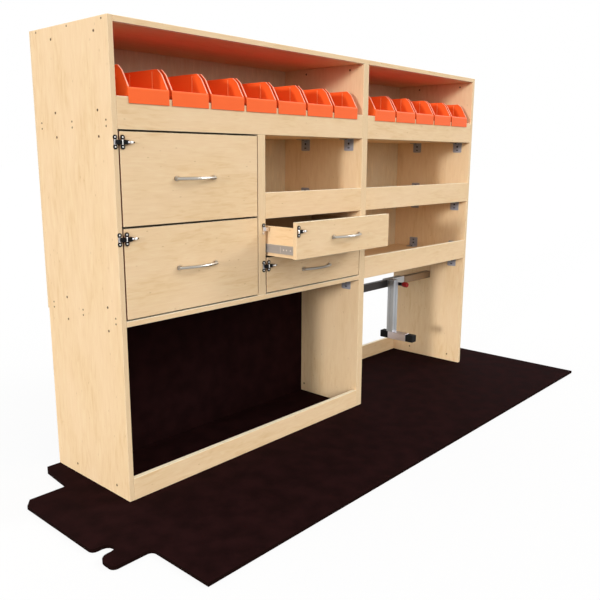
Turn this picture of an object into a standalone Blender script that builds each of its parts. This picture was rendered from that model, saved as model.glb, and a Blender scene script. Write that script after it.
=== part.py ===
"""Plywood van racking with drawers, open shelves, picking bins and floor boards.

The rack stands on two film-faced floor boards. Its working frame has X along the
front from the outer face of the left end panel, Y from the front edges to the
back and Z up from the top of the floor boards. One empty carries everything, so
that the finished model stands on Z = 0 with its origin under the middle of the
bounding box. All lengths are in metres.
"""

import math

import bmesh
import bpy
from mathutils import Vector

# Clearances
SEAT_GAP = 0.0003
OVERRUN = 0.010

# Carcass of single and doubled plywood boards
CARCASS_DEPTH = 0.444
BOARD = 0.018
DOUBLE_BOARD = 2 * BOARD
BACK_SHEET = 0.006
DRAWER_BAY = 0.578
OPEN_BAY = 0.886
LOWER_BAY_HEIGHT = 0.583
SHELF_PITCH = 0.300
BIN_BAY_HEIGHT = 0.317
LIP_HEIGHT = 0.095
KICK_HEIGHT = 0.076
WHEEL_ARCH_ROOM = 0.109
EDGE_EASING = 0.001
EASED_ANGLE = 30

# Floor boards
FLOOR_BOARD = 0.012
FLOOR_RIGHT_REACH = 0.263
FLOOR_FRONT_REACH = 0.520
FLOOR_JOINT_INSET = 0.055
FLOOR_LEFT_REACH = 0.246
FLOOR_REAR_TAB_REACH = 0.065
FLOOR_REAR_TAB_LENGTH = 0.186
FLOOR_TAB_CHAMFER = 0.015
FLOOR_TAB_CHAMFER_LENGTH = 0.030
FLOOR_SIDE_CHAMFER = 0.026
FLOOR_SIDE_CHAMFER_LENGTH = 0.035
FLOOR_FRONT_STEP_REACH = 0.114
FLOOR_FRONT_STEP_LENGTH = 0.246
FLOOR_SLOT_WIDTH = 0.044
FLOOR_SLOT_DEPTH = 0.056
FLOOR_FINGER_WIDTH = 0.073
FLOOR_FINGER_REACH = 0.008
FLOOR_FINGER_ROUND = 0.030
FLOOR_NOTCH_DRAFT = 0.012
FLOOR_CORNER_ROUND = 0.018

# Drawers
FRONT_GAP = 0.005
MID_DRAWER_OPEN = 0.150
DRAWER_SIDE = 0.012
DRAWER_BASE = 0.009
DRAWER_REAR_ROOM = 0.026
LARGE_BOX_DROP = 0.0480
SMALL_BOX_DROP = 0.0240
BOX_CLEARANCE = 0.013
BOX_LIFT = 0.0015
BOX_SHELF_CLEARANCE = 0.004
SLIDE_RISE = 0.0285
SLIDE_SETBACK = 0.006
SLIDE_RECESS_SHARE = 0.4
CABINET_MEMBER = 0.045
CABINET_CHANNEL = 0.031
DRAWER_MEMBER = 0.031
DRAWER_CHANNEL = 0.019

# Bow handles
HANDLE_CENTRES = 0.160
HANDLE_REACH = 0.031
HANDLE_NECK = 0.012
HANDLE_ROD = 0.0100
HANDLE_CORNER = 0.008
HANDLE_FOOT = 0.014
HANDLE_FOOT_DEPTH = 0.003

# Rotary drawer latches, one for each drawer front
LATCH_DROP = 0.032
LATCH_EAR_SPREAD = 0.028
LATCH_EAR = 0.0072
LATCH_WEB_SHARE = 0.62
LATCH_PLATE = 0.0026
KEEPER_OFFSET = 0.0140
PIVOT_OFFSET = 0.012
LATCH_BOSS = 0.0058
LATCH_BOSS_RISE = 0.0012
LEVER_THICKNESS = 0.0050
LEVER_HUB_BACK = 0.0080
LEVER_HUB_FRONT = 0.0130
LEVER_HUB_HALF = 0.0065
LEVER_NECK = 0.0180
LEVER_NECK_HALF = 0.0040
LEVER_PAD = 0.0260
LEVER_PAD_HALF = 0.0062
LEVER_LENGTH = 0.0405
LEVER_TIP_HALF = 0.0025
KEEPER_CATCH_OVERLAP = 0.0030
KEEPER_CATCH_RISE = 0.0090

# Picking bins
BIN_WIDTH = 0.148
BIN_SPACE = 0.012
BIN_DEPTH = 0.240
BIN_HEIGHT = 0.153
BIN_FRONT_TOP = 0.082
BIN_APRON = 0.042
BIN_MOUTH_RUN = 0.032
BIN_SHOULDER_RUN = 0.053
BIN_SHOULDER_DROP = 0.017
BIN_WALL = 0.0025
BIN_RIM = 0.006
BIN_FLANGE = 0.002
BIN_RIB = 0.004
BIN_RIB_PROUD = 0.002
BIN_FRONT_RIB = 0.072
BIN_REAR_RIB = 0.193

# Sliding load stop in the lower right bay
RAIL_HEIGHT = 0.036
RAIL_DEPTH = 0.026
RAIL_DROP = 0.093
RAIL_SETBACK = 0.201
PLATE = 0.004
PLATE_LENGTH = 0.148
PLATE_START = 0.472
HOOK_DROP = 0.016
POST_WIDTH = 0.038
POST_DEPTH = 0.036
POST_GROOVE = 0.006
POST_GROOVE_DEPTH = 0.0015
FOOT_BASE = 0.187
FOOT_FRONT = 0.039
FOOT_LENGTH = 0.197
CAP_LENGTH_FRONT = 0.043
CAP_LENGTH_REAR = 0.047
CAP_EASING = 0.003
KNOB_OFFSET = 0.075
KNOB_RISE = 0.010
KNOB_STEM = 0.005
KNOB_STEM_LENGTH = 0.016
KNOB_BODY = 0.009
KNOB_BODY_END = 0.012
KNOB_BODY_LENGTH = 0.028
KNOB_HEAD = 0.0145
KNOB_HEAD_LENGTH = 0.026
KNOB_ROUND = 0.004
KNOB_SIDES = 24

# Places that follow from the sizes above
LEFT_BAY = (BOARD, BOARD + DRAWER_BAY)
CENTRE_BAY = (LEFT_BAY[1] + DOUBLE_BOARD, LEFT_BAY[1] + DOUBLE_BOARD + DRAWER_BAY)
RIGHT_BAY = (CENTRE_BAY[1] + DOUBLE_BOARD, CENTRE_BAY[1] + DOUBLE_BOARD + OPEN_BAY)
RACK_WIDTH = RIGHT_BAY[1] + BOARD
LOWER_SHELF = LOWER_BAY_HEIGHT
MIDDLE_SHELF = LOWER_SHELF + SHELF_PITCH
BIN_SHELF = MIDDLE_SHELF + SHELF_PITCH
RACK_HEIGHT = BIN_SHELF + BIN_BAY_HEIGHT
DRAWER_BACK = CARCASS_DEPTH - DRAWER_REAR_ROOM
BIN_PITCH = BIN_WIDTH + BIN_SPACE
RAIL_BASE = LOWER_SHELF - RAIL_DROP - RAIL_HEIGHT
FULL_DEPTH = CARCASS_DEPTH + BACK_SHEET
FLOOR_LEFT = -FLOOR_LEFT_REACH
FLOOR_RIGHT = RACK_WIDTH + FLOOR_RIGHT_REACH
FLOOR_FRONT = -FLOOR_FRONT_REACH
FLOOR_BACK = CARCASS_DEPTH
FLOOR_JOINT = CENTRE_BAY[1] - FLOOR_JOINT_INSET

CONTENTS = "van_racking"
CUTTERS = "van_racking_cutters"


def collection(name):
    """The collection of this name, made under the scene if it is new."""
    found = bpy.data.collections.get(name)
    if found is None:
        found = bpy.data.collections.new(name)
        bpy.context.scene.collection.children.link(found)
    return found


def clear_scene():
    """Remove every object that the scene opens with."""
    for thing in list(bpy.data.objects):
        bpy.data.objects.remove(thing, do_unlink=True)


def finish(name, colour, roughness, metallic=0.0):
    """A Principled material with one colour, roughness and metallic value."""
    material = bpy.data.materials.get(name)
    if material is None:
        material = bpy.data.materials.new(name)
        material.use_nodes = True
        shader = material.node_tree.nodes["Principled BSDF"]
        shader.inputs["Base Color"].default_value = (*colour, 1.0)
        shader.inputs["Roughness"].default_value = roughness
        shader.inputs["Metallic"].default_value = metallic
    return material


def birch_face():
    return finish("birch_faced_plywood", (0.78, 0.57, 0.33), 0.45)


def drawer_ply():
    return finish("drawer_box_plywood", (0.82, 0.64, 0.40), 0.50)


def film_face():
    return finish("phenolic_film_faced_plywood", (0.020, 0.006, 0.006), 0.40)


def orange_plastic():
    return finish("orange_polypropylene", (0.95, 0.12, 0.02), 0.35)


def satin_chrome():
    return finish("satin_chrome", (0.75, 0.74, 0.73), 0.25, 1.0)


def black_steel():
    return finish("black_coated_steel", (0.012, 0.012, 0.012), 0.40, 0.3)


def zinc_steel():
    return finish("zinc_plated_steel", (0.60, 0.60, 0.60), 0.35, 1.0)


def grey_steel():
    return finish("dark_grey_coated_steel", (0.055, 0.052, 0.050), 0.45, 0.2)


def aluminium():
    return finish("anodised_aluminium", (0.55, 0.56, 0.58), 0.35, 1.0)


def black_rubber():
    return finish("black_rubber", (0.015, 0.014, 0.014), 0.70)


def red_plastic():
    return finish("red_nylon", (0.45, 0.03, 0.03), 0.40)


def dress(thing, material):
    """Put one material on an object."""
    thing.data.materials.clear()
    thing.data.materials.append(material)
    return thing


def box_mesh(name, x, y, z):
    """A closed box between (low, high) pairs, centred on its own origin."""
    size = Vector((x[1] - x[0], y[1] - y[0], z[1] - z[0]))
    shape = bmesh.new()
    bmesh.ops.create_cube(shape, size=1.0)
    bmesh.ops.scale(shape, vec=size, verts=shape.verts)
    mesh = bpy.data.meshes.new(name)
    shape.to_mesh(mesh)
    shape.free()
    return mesh


def place(name, mesh, location, home=CONTENTS):
    """Put a mesh into a collection as a named object at a location."""
    thing = bpy.data.objects.new(name, mesh)
    thing.location = location
    collection(home).objects.link(thing)
    return thing


def box(name, x, y, z, home=CONTENTS):
    """A box object between (low, high) pairs of the rack's frame."""
    middle = [sum(pair) / 2 for pair in (x, y, z)]
    return place(name, box_mesh(name, x, y, z), middle, home)


def ease(thing, width, segments=1):
    """Round every sharp outer edge of an object by one width."""
    shape = bmesh.new()
    shape.from_mesh(thing.data)
    weight = shape.edges.layers.float.new("bevel_weight_edge")
    for edge in shape.edges:
        sharp = edge.calc_face_angle(0.0) > math.radians(EASED_ANGLE)
        edge[weight] = 1.0 if sharp and edge.is_convex else 0.0
    shape.to_mesh(thing.data)
    shape.free()
    bevel = thing.modifiers.new("eased_edges", "BEVEL")
    bevel.width = width
    bevel.segments = segments
    bevel.limit_method = "WEIGHT"
    bevel.harden_normals = False
    return thing


def board(name, x, y, z, material):
    """A flat board with eased edges."""
    return dress(ease(box(name, x, y, z), EDGE_EASING), material)


def bake(thing):
    """Replace an object's mesh by what its modifiers make of it."""
    graph = bpy.context.evaluated_depsgraph_get()
    made = bpy.data.meshes.new_from_object(thing.evaluated_get(graph))
    thing.modifiers.clear()
    thing.data = made
    return thing


def solid_from_curve(curve, name, home=CONTENTS):
    """Turn a capped curve into a closed mesh object and drop the curve."""
    graph = bpy.context.evaluated_depsgraph_get()
    mesh = bpy.data.meshes.new_from_object(curve.evaluated_get(graph))
    shape = bmesh.new()
    shape.from_mesh(mesh)
    bmesh.ops.remove_doubles(shape, verts=shape.verts, dist=SEAT_GAP / 10)
    bmesh.ops.recalc_face_normals(shape, faces=shape.faces)
    shape.to_mesh(mesh)
    shape.free()
    thing = bpy.data.objects.new(name, mesh)
    thing.matrix_world = curve.matrix_world.copy()
    collection(home).objects.link(thing)
    bpy.data.objects.remove(curve, do_unlink=True)
    return thing


def outline_solid(name, points, thickness, rotation, location, home=CONTENTS):
    """A flat outline with a thickness, turned and moved into place."""
    curve = bpy.data.curves.new(name + "_outline", "CURVE")
    curve.dimensions = "2D"
    curve.fill_mode = "BOTH"
    curve.extrude = thickness / 2
    spline = curve.splines.new("POLY")
    spline.points.add(len(points) - 1)
    for point, place_at in zip(spline.points, points):
        point.co = (place_at[0], place_at[1], 0.0, 1.0)
    spline.use_cyclic_u = True
    drawn = bpy.data.objects.new(name + "_outline", curve)
    drawn.rotation_euler = rotation
    drawn.location = location
    collection(home).objects.link(drawn)
    bpy.context.view_layer.update()
    return solid_from_curve(drawn, name, home)


# Turns an outline drawn in X and Y into one that stands across the rack's width
ACROSS = (math.pi / 2, 0.0, math.pi / 2)
# Turns an outline drawn in X and Y into one that faces the front
FACING = (math.pi / 2, 0.0, 0.0)


def across(name, points, x, home=CONTENTS):
    """A side outline in (y, z), run between the two x values."""
    middle = (sum(x) / 2, 0.0, 0.0)
    return outline_solid(name, points, x[1] - x[0], ACROSS, middle, home)


def combine(thing, other, operation):
    """Join or cut an object by another, which is then kept as a guide only."""
    step = thing.modifiers.new(operation.lower(), "BOOLEAN")
    step.operation = operation
    step.solver = "EXACT"
    step.object = other
    other.hide_render = True
    other.display_type = "WIRE"
    bake(thing)
    bpy.data.objects.remove(other, do_unlink=True)
    return thing


def arc(centre, radius, start, end, steps):
    """Points along an arc, with angles in degrees."""
    found = []
    for step in range(steps + 1):
        angle = math.radians(start + (end - start) * step / steps)
        found.append((centre[0] + radius * math.cos(angle), centre[1] + radius * math.sin(angle)))
    return found


def floor_boards():
    """Two film-faced boards that meet in front of the middle panel."""
    half_gap = SEAT_GAP / 2
    r = FLOOR_CORNER_ROUND
    finger_left = FLOOR_LEFT
    left = finger_left + FLOOR_FINGER_REACH
    tab = -FLOOR_REAR_TAB_REACH
    notch = tab - FLOOR_NOTCH_DRAFT
    step = -FLOOR_FRONT_STEP_REACH
    shoulder = FLOOR_BACK - FLOOR_REAR_TAB_LENGTH
    finger_low = FLOOR_FRONT + FLOOR_FRONT_STEP_LENGTH
    finger_high = finger_low + FLOOR_FINGER_WIDTH
    slot_high = finger_high + FLOOR_SLOT_WIDTH
    slot_radius = FLOOR_SLOT_WIDTH / 2
    slot_centre = (left + FLOOR_SLOT_DEPTH - slot_radius, (finger_high + slot_high) / 2)
    finger_round = FLOOR_FINGER_ROUND
    outline = [
        (FLOOR_JOINT - half_gap, FLOOR_BACK),
        (tab + FLOOR_TAB_CHAMFER, FLOOR_BACK),
        (tab, FLOOR_BACK - FLOOR_TAB_CHAMFER_LENGTH),
    ]
    outline += arc((notch - r, shoulder + r), r, 0, -90, 4)
    outline += [
        (left + FLOOR_SIDE_CHAMFER, shoulder),
        (left, shoulder - FLOOR_SIDE_CHAMFER_LENGTH),
    ]
    outline += arc((left + r, slot_high + r), r, 180, 270, 4)
    outline += arc(slot_centre, slot_radius, 90, -90, 6)
    finger_top = (finger_left + finger_round, finger_high - finger_round)
    outline += arc(finger_top, finger_round, 90, 180, 5)
    outline += arc((finger_left + r, finger_low + r), r, 180, 270, 4)
    outline += arc((step - r, finger_low - r), r, 90, 0, 4)
    outline += [(step, FLOOR_FRONT), (FLOOR_JOINT - half_gap, FLOOR_FRONT)]
    middle = (0.0, 0.0, -FLOOR_BOARD / 2)
    flat = (0.0, 0.0, 0.0)
    dress(outline_solid("floor_board_left", outline, FLOOR_BOARD, flat, middle), film_face())
    dress(
        box(
            "floor_board_right",
            (FLOOR_JOINT + half_gap, FLOOR_RIGHT),
            (FLOOR_FRONT, FLOOR_BACK),
            (-FLOOR_BOARD, 0.0),
        ),
        film_face(),
    )


def upright_panels():
    """End panels, the full-height middle panel and the divider between drawers."""
    depth = (0.0, CARCASS_DEPTH)
    height = (SEAT_GAP, RACK_HEIGHT)
    wood = birch_face()
    left = board("end_panel_left", (0.0, BOARD), depth, height, wood)
    board("end_panel_right", (RIGHT_BAY[1], RACK_WIDTH), depth, height, wood)
    middle_top = RACK_HEIGHT - BOARD - SEAT_GAP
    middle = board(
        "middle_panel",
        (CENTRE_BAY[1], RIGHT_BAY[0]),
        depth,
        (SEAT_GAP, middle_top),
        wood,
    )
    divider = board(
        "drawer_divider",
        (LEFT_BAY[1], CENTRE_BAY[0]),
        depth,
        (LOWER_SHELF + DOUBLE_BOARD + SEAT_GAP, BIN_SHELF - SEAT_GAP),
        wood,
    )
    for panel in (left, middle, divider):
        bake(panel)
    front = (0.0, BOARD)
    foot = (LOWER_SHELF + BOARD + SEAT_GAP, LOWER_SHELF + DOUBLE_BOARD + BOARD)
    combine(divider, box("foot", (LEFT_BAY[1], CENTRE_BAY[0]), front, foot, CUTTERS), "UNION")
    add_cabinet_members(left, LEFT_BAY[0], 1, large_drawers())
    add_cabinet_members(divider, LEFT_BAY[1], -1, large_drawers())
    add_cabinet_members(divider, CENTRE_BAY[0], 1, small_drawers())
    add_cabinet_members(middle, CENTRE_BAY[1], -1, small_drawers())


def add_cabinet_members(panel, face, side, drawers):
    """Fix the outer slide member of each drawer to a panel's face."""
    y = (BOARD + SLIDE_SETBACK, DRAWER_BACK)
    for drawer in drawers:
        add_member(panel, face, side, y, drawer["box"][0], (CABINET_MEMBER, CABINET_CHANNEL))


def add_member(carrier, face, side, y, base, heights):
    """Fuse a channelled slide member to an upright face, open to the given side."""
    reach = BOX_CLEARANCE / 2 - SEAT_GAP / 2
    middle = base + SLIDE_RISE
    sections = (
        ((-DRAWER_SIDE / 2, reach), heights[0], "UNION"),
        ((reach * (1 - SLIDE_RECESS_SHARE), reach + SEAT_GAP), heights[1], "DIFFERENCE"),
    )
    for depth, height, step in sections:
        x = sorted(face + side * value for value in depth)
        z = (middle - height / 2, middle + height / 2)
        combine(carrier, box("member", x, y, z, CUTTERS), step)


def shelf_outline(underside, has_lip, front_board):
    """Side outline of a doubled shelf, with a raised lip or a set-back top board."""
    back = CARCASS_DEPTH
    top = underside + DOUBLE_BOARD
    if has_lip:
        lip_top = underside + LIP_HEIGHT
        return [
            (0.0, underside),
            (back, underside),
            (back, top),
            (BOARD, top),
            (BOARD, lip_top),
            (0.0, lip_top),
        ]
    set_back = front_board + SEAT_GAP
    return [
        (0.0, underside),
        (back, underside),
        (back, top),
        (set_back, top),
        (set_back, underside + BOARD),
        (0.0, underside + BOARD),
    ]


def shelves():
    """Doubled shelves between the uprights, five of them with a front lip."""
    whole_left = (LEFT_BAY[0], CENTRE_BAY[1])
    rows = (
        ("lower_shelf_left", whole_left, LOWER_SHELF, False),
        ("lower_shelf_right", RIGHT_BAY, LOWER_SHELF, True),
        ("middle_shelf_centre", CENTRE_BAY, MIDDLE_SHELF, True),
        ("middle_shelf_right", RIGHT_BAY, MIDDLE_SHELF, True),
        ("bin_shelf_left", whole_left, BIN_SHELF, True),
        ("bin_shelf_right", RIGHT_BAY, BIN_SHELF, True),
    )
    for name, bay, underside, has_lip in rows:
        span = (bay[0] + SEAT_GAP, bay[1] - SEAT_GAP)
        shelf = across(name, shelf_outline(underside, has_lip, BOARD), span)
        dress(ease(shelf, EDGE_EASING), birch_face())


def cross_boards():
    """Top, back sheet, kick board, rear rail and the board before the wheel arch."""
    wood = birch_face()
    inner = (LEFT_BAY[0] + SEAT_GAP, RIGHT_BAY[1] - SEAT_GAP)
    depth = (0.0, CARCASS_DEPTH)
    board("top_panel", inner, depth, (RACK_HEIGHT - BOARD, RACK_HEIGHT), wood)
    back = (CARCASS_DEPTH + SEAT_GAP, FULL_DEPTH)
    dress(box("back_sheet", (0.0, RACK_WIDTH), back, (LOWER_SHELF, RACK_HEIGHT)), wood)
    left_span = (LEFT_BAY[0] + SEAT_GAP, CENTRE_BAY[1] - SEAT_GAP)
    right_span = (RIGHT_BAY[0] + SEAT_GAP, RIGHT_BAY[1] - SEAT_GAP)
    rail_height = (SEAT_GAP, KICK_HEIGHT)
    board("kick_board", left_span, (0.0, BOARD), rail_height, wood)
    rear = (CARCASS_DEPTH - BOARD, CARCASS_DEPTH)
    board("rear_floor_rail", right_span, rear, rail_height, wood)
    arch_front = CARCASS_DEPTH - WHEEL_ARCH_ROOM
    arch = (arch_front, arch_front + FLOOR_BOARD)
    under_shelf = (SEAT_GAP, LOWER_SHELF - SEAT_GAP)
    dress(box("wheel_arch_board", left_span, arch, under_shelf), film_face())


def drawer_row(side, bay, top, box_drop, opened):
    """Two equal drawers over each other in one bay, lower one first."""
    low = LOWER_SHELF + BOARD + FRONT_GAP
    high = top - FRONT_GAP
    height = (high - low - FRONT_GAP) / 2
    drawers = []
    for level, lift in (("lower", 0.0), ("upper", height + FRONT_GAP)):
        base = low + lift
        shelf_top = LOWER_SHELF + DOUBLE_BOARD
        floor = max(base + BOX_LIFT, shelf_top + BOX_SHELF_CLEARANCE)
        drawers.append(
            {
                "name": f"{side}_{level}",
                "bay": bay,
                "front": (base, base + height),
                "box": (floor, floor + height - box_drop),
                "open": opened if level == "upper" else 0.0,
            }
        )
    return drawers


def large_drawers():
    return drawer_row("left", LEFT_BAY, BIN_SHELF, LARGE_BOX_DROP, 0.0)


def small_drawers():
    return drawer_row("centre", CENTRE_BAY, MIDDLE_SHELF, SMALL_BOX_DROP, MID_DRAWER_OPEN)


def drawer_box(drawer, carrier):
    """An open plywood tray with the inner slide members on its sides."""
    x = (drawer["bay"][0] + BOX_CLEARANCE, drawer["bay"][1] - BOX_CLEARANCE)
    y = (BOARD + SEAT_GAP, DRAWER_BACK)
    z = drawer["box"]
    tray = box("drawer_box_" + drawer["name"], x, y, z)
    hollow = box(
        "hollow",
        (x[0] + DRAWER_SIDE, x[1] - DRAWER_SIDE),
        (y[0] + DRAWER_SIDE, y[1] - DRAWER_SIDE),
        (z[0] + DRAWER_BASE, z[1] + OVERRUN),
        CUTTERS,
    )
    combine(tray, hollow, "DIFFERENCE")
    for face, side in ((x[0], -1), (x[1], 1)):
        add_member(tray, face, side, y, z[0], (DRAWER_MEMBER, DRAWER_CHANNEL))
    carry(dress(tray, drawer_ply()), carrier)


def bow_points():
    """Path of a bow handle seen from above, with x along it and y outward."""
    half = HANDLE_CENTRES / 2
    r = HANDLE_CORNER
    rise = HANDLE_REACH - HANDLE_ROD / 2
    points = [(-half, HANDLE_FOOT_DEPTH / 2), (-half, HANDLE_NECK - r)]
    points += [(-half + r - p[0], HANDLE_NECK - r + p[1]) for p in arc((0, 0), r, 0, 60, 3)[1:]]
    start = points[-1]
    steps = 12
    for step in range(1, steps):
        share = step / steps
        bow = math.sin(math.pi * share)
        points.append((start[0] * (1 - 2 * share), start[1] + (rise - start[1]) * bow))
    points += [(-x, y) for x, y in reversed(points[: 5])]
    return points


def bow_handle(drawer, carrier):
    """A bent round bar on two feet across the middle of a drawer front."""
    centre_x = sum(drawer["bay"]) / 2
    centre_z = sum(drawer["front"]) / 2
    name = "handle_" + drawer["name"]
    curve = bpy.data.curves.new(name, "CURVE")
    curve.dimensions = "3D"
    curve.bevel_depth = HANDLE_ROD / 2
    curve.bevel_resolution = 2
    curve.use_fill_caps = True
    spline = curve.splines.new("POLY")
    path = bow_points()
    spline.points.add(len(path) - 1)
    for point, (along, out) in zip(spline.points, path):
        point.co = (along, -out - SEAT_GAP, 0.0, 1.0)
    drawn = bpy.data.objects.new(name + "_path", curve)
    drawn.location = (centre_x, 0.0, centre_z)
    collection(CONTENTS).objects.link(drawn)
    bpy.context.view_layer.update()
    handle = solid_from_curve(drawn, name)
    for side in (-1, 1):
        foot = disc("foot", HANDLE_FOOT / 2, HANDLE_FOOT_DEPTH, 16)
        foot.location = (
            centre_x + side * HANDLE_CENTRES / 2,
            -SEAT_GAP - HANDLE_FOOT_DEPTH / 2,
            centre_z,
        )
        bpy.context.view_layer.update()
        combine(handle, foot, "UNION")
    smooth(handle)
    carry(dress(handle, satin_chrome()), carrier)


def disc(name, radius, thickness, sides, home=CUTTERS):
    """A short cylinder whose axis points to the front."""
    shape = bmesh.new()
    bmesh.ops.create_cone(
        shape,
        cap_ends=True,
        segments=sides,
        radius1=radius,
        radius2=radius,
        depth=thickness,
    )
    mesh = bpy.data.meshes.new(name)
    shape.to_mesh(mesh)
    shape.free()
    thing = place(name, mesh, (0.0, 0.0, 0.0), home)
    thing.rotation_euler = FACING
    return thing


def smooth(thing):
    """Shade an object round, with its true corners kept sharp."""
    thing.data.shade_smooth()
    thing.data.set_sharp_from_angle(angle=math.radians(40))
    return thing


def eared_plate():
    """Outline of a small plate with a round screw ear above and below."""
    spread = LATCH_EAR_SPREAD / 2
    web = LATCH_EAR * LATCH_WEB_SHARE
    meet = math.degrees(math.asin(LATCH_WEB_SHARE))
    upper = arc((0.0, spread), LATCH_EAR, meet - 90, 270 - meet, 12)
    lower = arc((0.0, -spread), LATCH_EAR, 90 + meet, 450 - meet, 12)
    return upper + [(-web, 0.0)] + lower + [(web, 0.0)]


def latch_plate(name, x, z, front):
    """An eared plate seated on a front face."""
    seat = front - SEAT_GAP - LATCH_PLATE / 2
    return outline_solid(name, eared_plate(), LATCH_PLATE, FACING, (x, seat, z))


def keeper(drawer):
    """The fixed half of a latch, with a catch block that reaches the drawer's gap."""
    edge = drawer["bay"][0]
    x = edge + FRONT_GAP / 2 - KEEPER_OFFSET
    z = drawer["front"][1] - LATCH_DROP
    plate = latch_plate("latch_keeper_" + drawer["name"], x, z, 0.0)
    block_x = (x + KEEPER_CATCH_OVERLAP, edge + FRONT_GAP - SEAT_GAP)
    back = -SEAT_GAP - LATCH_PLATE / 2
    face = -SEAT_GAP - LATCH_PLATE - KEEPER_CATCH_RISE
    block_z = (z - LEVER_HUB_HALF, z + LEVER_HUB_HALF)
    combine(plate, box("block", block_x, (face, back), block_z, CUTTERS), "UNION")
    dress(plate, black_steel())


def latch_base(drawer, carrier):
    """The moving half's plate and pivot boss, on the drawer front."""
    x = drawer["bay"][0] + FRONT_GAP / 2 + PIVOT_OFFSET
    z = drawer["front"][1] - LATCH_DROP
    plate = latch_plate("latch_base_" + drawer["name"], x, z, 0.0)
    height = LATCH_PLATE + LATCH_BOSS_RISE
    boss = disc("boss", LATCH_BOSS, height, 20)
    boss.location = (x, -SEAT_GAP - height / 2, z)
    bpy.context.view_layer.update()
    combine(plate, boss, "UNION")
    carry(dress(plate, black_steel()), carrier)


def lever_outline():
    """A square hub round the pivot with a waisted finger to its right."""
    upper = [
        (-LEVER_HUB_BACK, LEVER_HUB_HALF),
        (LEVER_HUB_FRONT, LEVER_HUB_HALF),
        (LEVER_NECK, LEVER_NECK_HALF),
        (LEVER_PAD, LEVER_PAD_HALF),
        (LEVER_LENGTH - LEVER_TIP_HALF, LEVER_TIP_HALF),
        (LEVER_LENGTH, LEVER_TIP_HALF / 2),
    ]
    return upper + [(x, -z) for x, z in reversed(upper)]


def latch_lever(drawer, carrier):
    """The turning lever, seated on the boss about an axis that points forward."""
    x = drawer["bay"][0] + FRONT_GAP / 2 + PIVOT_OFFSET
    z = drawer["front"][1] - LATCH_DROP
    back = LATCH_PLATE + LATCH_BOSS_RISE + 2 * SEAT_GAP
    seat = (x, -back - LEVER_THICKNESS / 2, z)
    name = "latch_lever_" + drawer["name"]
    lever = outline_solid(name, lever_outline(), LEVER_THICKNESS, FACING, seat)
    carry(dress(ease(lever, EDGE_EASING), satin_chrome()), carrier)


def empty(name, location, parent=None):
    """A plain empty that carries the pieces that move together."""
    thing = bpy.data.objects.new(name, None)
    thing.location = location
    collection(CONTENTS).objects.link(thing)
    thing.parent = parent
    bpy.context.view_layer.update()
    return thing


def carry(thing, carrier):
    """Parent an object to a carrier, which then gives it the carrier's place."""
    thing.parent = carrier
    return thing


def drawers():
    """Four drawers, each a front, a box, a handle and half a latch."""
    for drawer in large_drawers() + small_drawers():
        carrier = empty("carrier_" + drawer["name"], (0.0, -drawer["open"], 0.0))
        x = (drawer["bay"][0] + FRONT_GAP, drawer["bay"][1] - FRONT_GAP)
        name = "drawer_front_" + drawer["name"]
        face = board(name, x, (0.0, BOARD), drawer["front"], birch_face())
        carry(face, carrier)
        drawer_box(drawer, carrier)
        bow_handle(drawer, carrier)
        latch_base(drawer, carrier)
        latch_lever(drawer, carrier)
        keeper(drawer)


def bin_side():
    """Outer side outline of a bin that hooks over the shelf lip, in (y, z)."""
    lip_top = LIP_HEIGHT - DOUBLE_BOARD + SEAT_GAP
    inner = -SEAT_GAP
    outer = inner - BIN_WALL
    back = BIN_DEPTH + outer
    body = BOARD + SEAT_GAP
    return [
        (outer, BIN_FRONT_TOP - BIN_APRON),
        (inner, BIN_FRONT_TOP - BIN_APRON),
        (inner, lip_top),
        (body, lip_top),
        (body, 0.0),
        (back, 0.0),
        (back, BIN_HEIGHT),
        (outer + BIN_SHOULDER_RUN, BIN_HEIGHT),
        (outer + BIN_MOUTH_RUN, BIN_HEIGHT - BIN_SHOULDER_DROP),
        (outer, BIN_FRONT_TOP),
    ]


def below_rim():
    """Side outline of all that lies under the rim and behind the front panel."""
    inner = -SEAT_GAP
    outer = inner - BIN_WALL
    back = BIN_DEPTH + outer
    rim_base = BIN_HEIGHT - BIN_RIM
    front_base = BIN_FRONT_TOP - BIN_RIM
    return [
        (inner, -OVERRUN),
        (back + OVERRUN, -OVERRUN),
        (back + OVERRUN, rim_base),
        (outer + BIN_SHOULDER_RUN, rim_base),
        (outer + BIN_MOUTH_RUN + BIN_RIM / 2, rim_base - BIN_SHOULDER_DROP),
        (inner, front_base),
    ]


def bin_hollow():
    """Side outline of the space inside a bin, open at the top."""
    lip_top = LIP_HEIGHT - DOUBLE_BOARD + SEAT_GAP
    back = BIN_DEPTH - SEAT_GAP - 2 * BIN_WALL
    ledge = lip_top + BIN_WALL
    inner_front = BOARD + SEAT_GAP + BIN_WALL
    over = BIN_HEIGHT + OVERRUN
    return [
        (inner_front, BIN_WALL),
        (back, BIN_WALL),
        (back, over),
        (-SEAT_GAP, over),
        (-SEAT_GAP, ledge),
        (inner_front, ledge),
    ]


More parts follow.
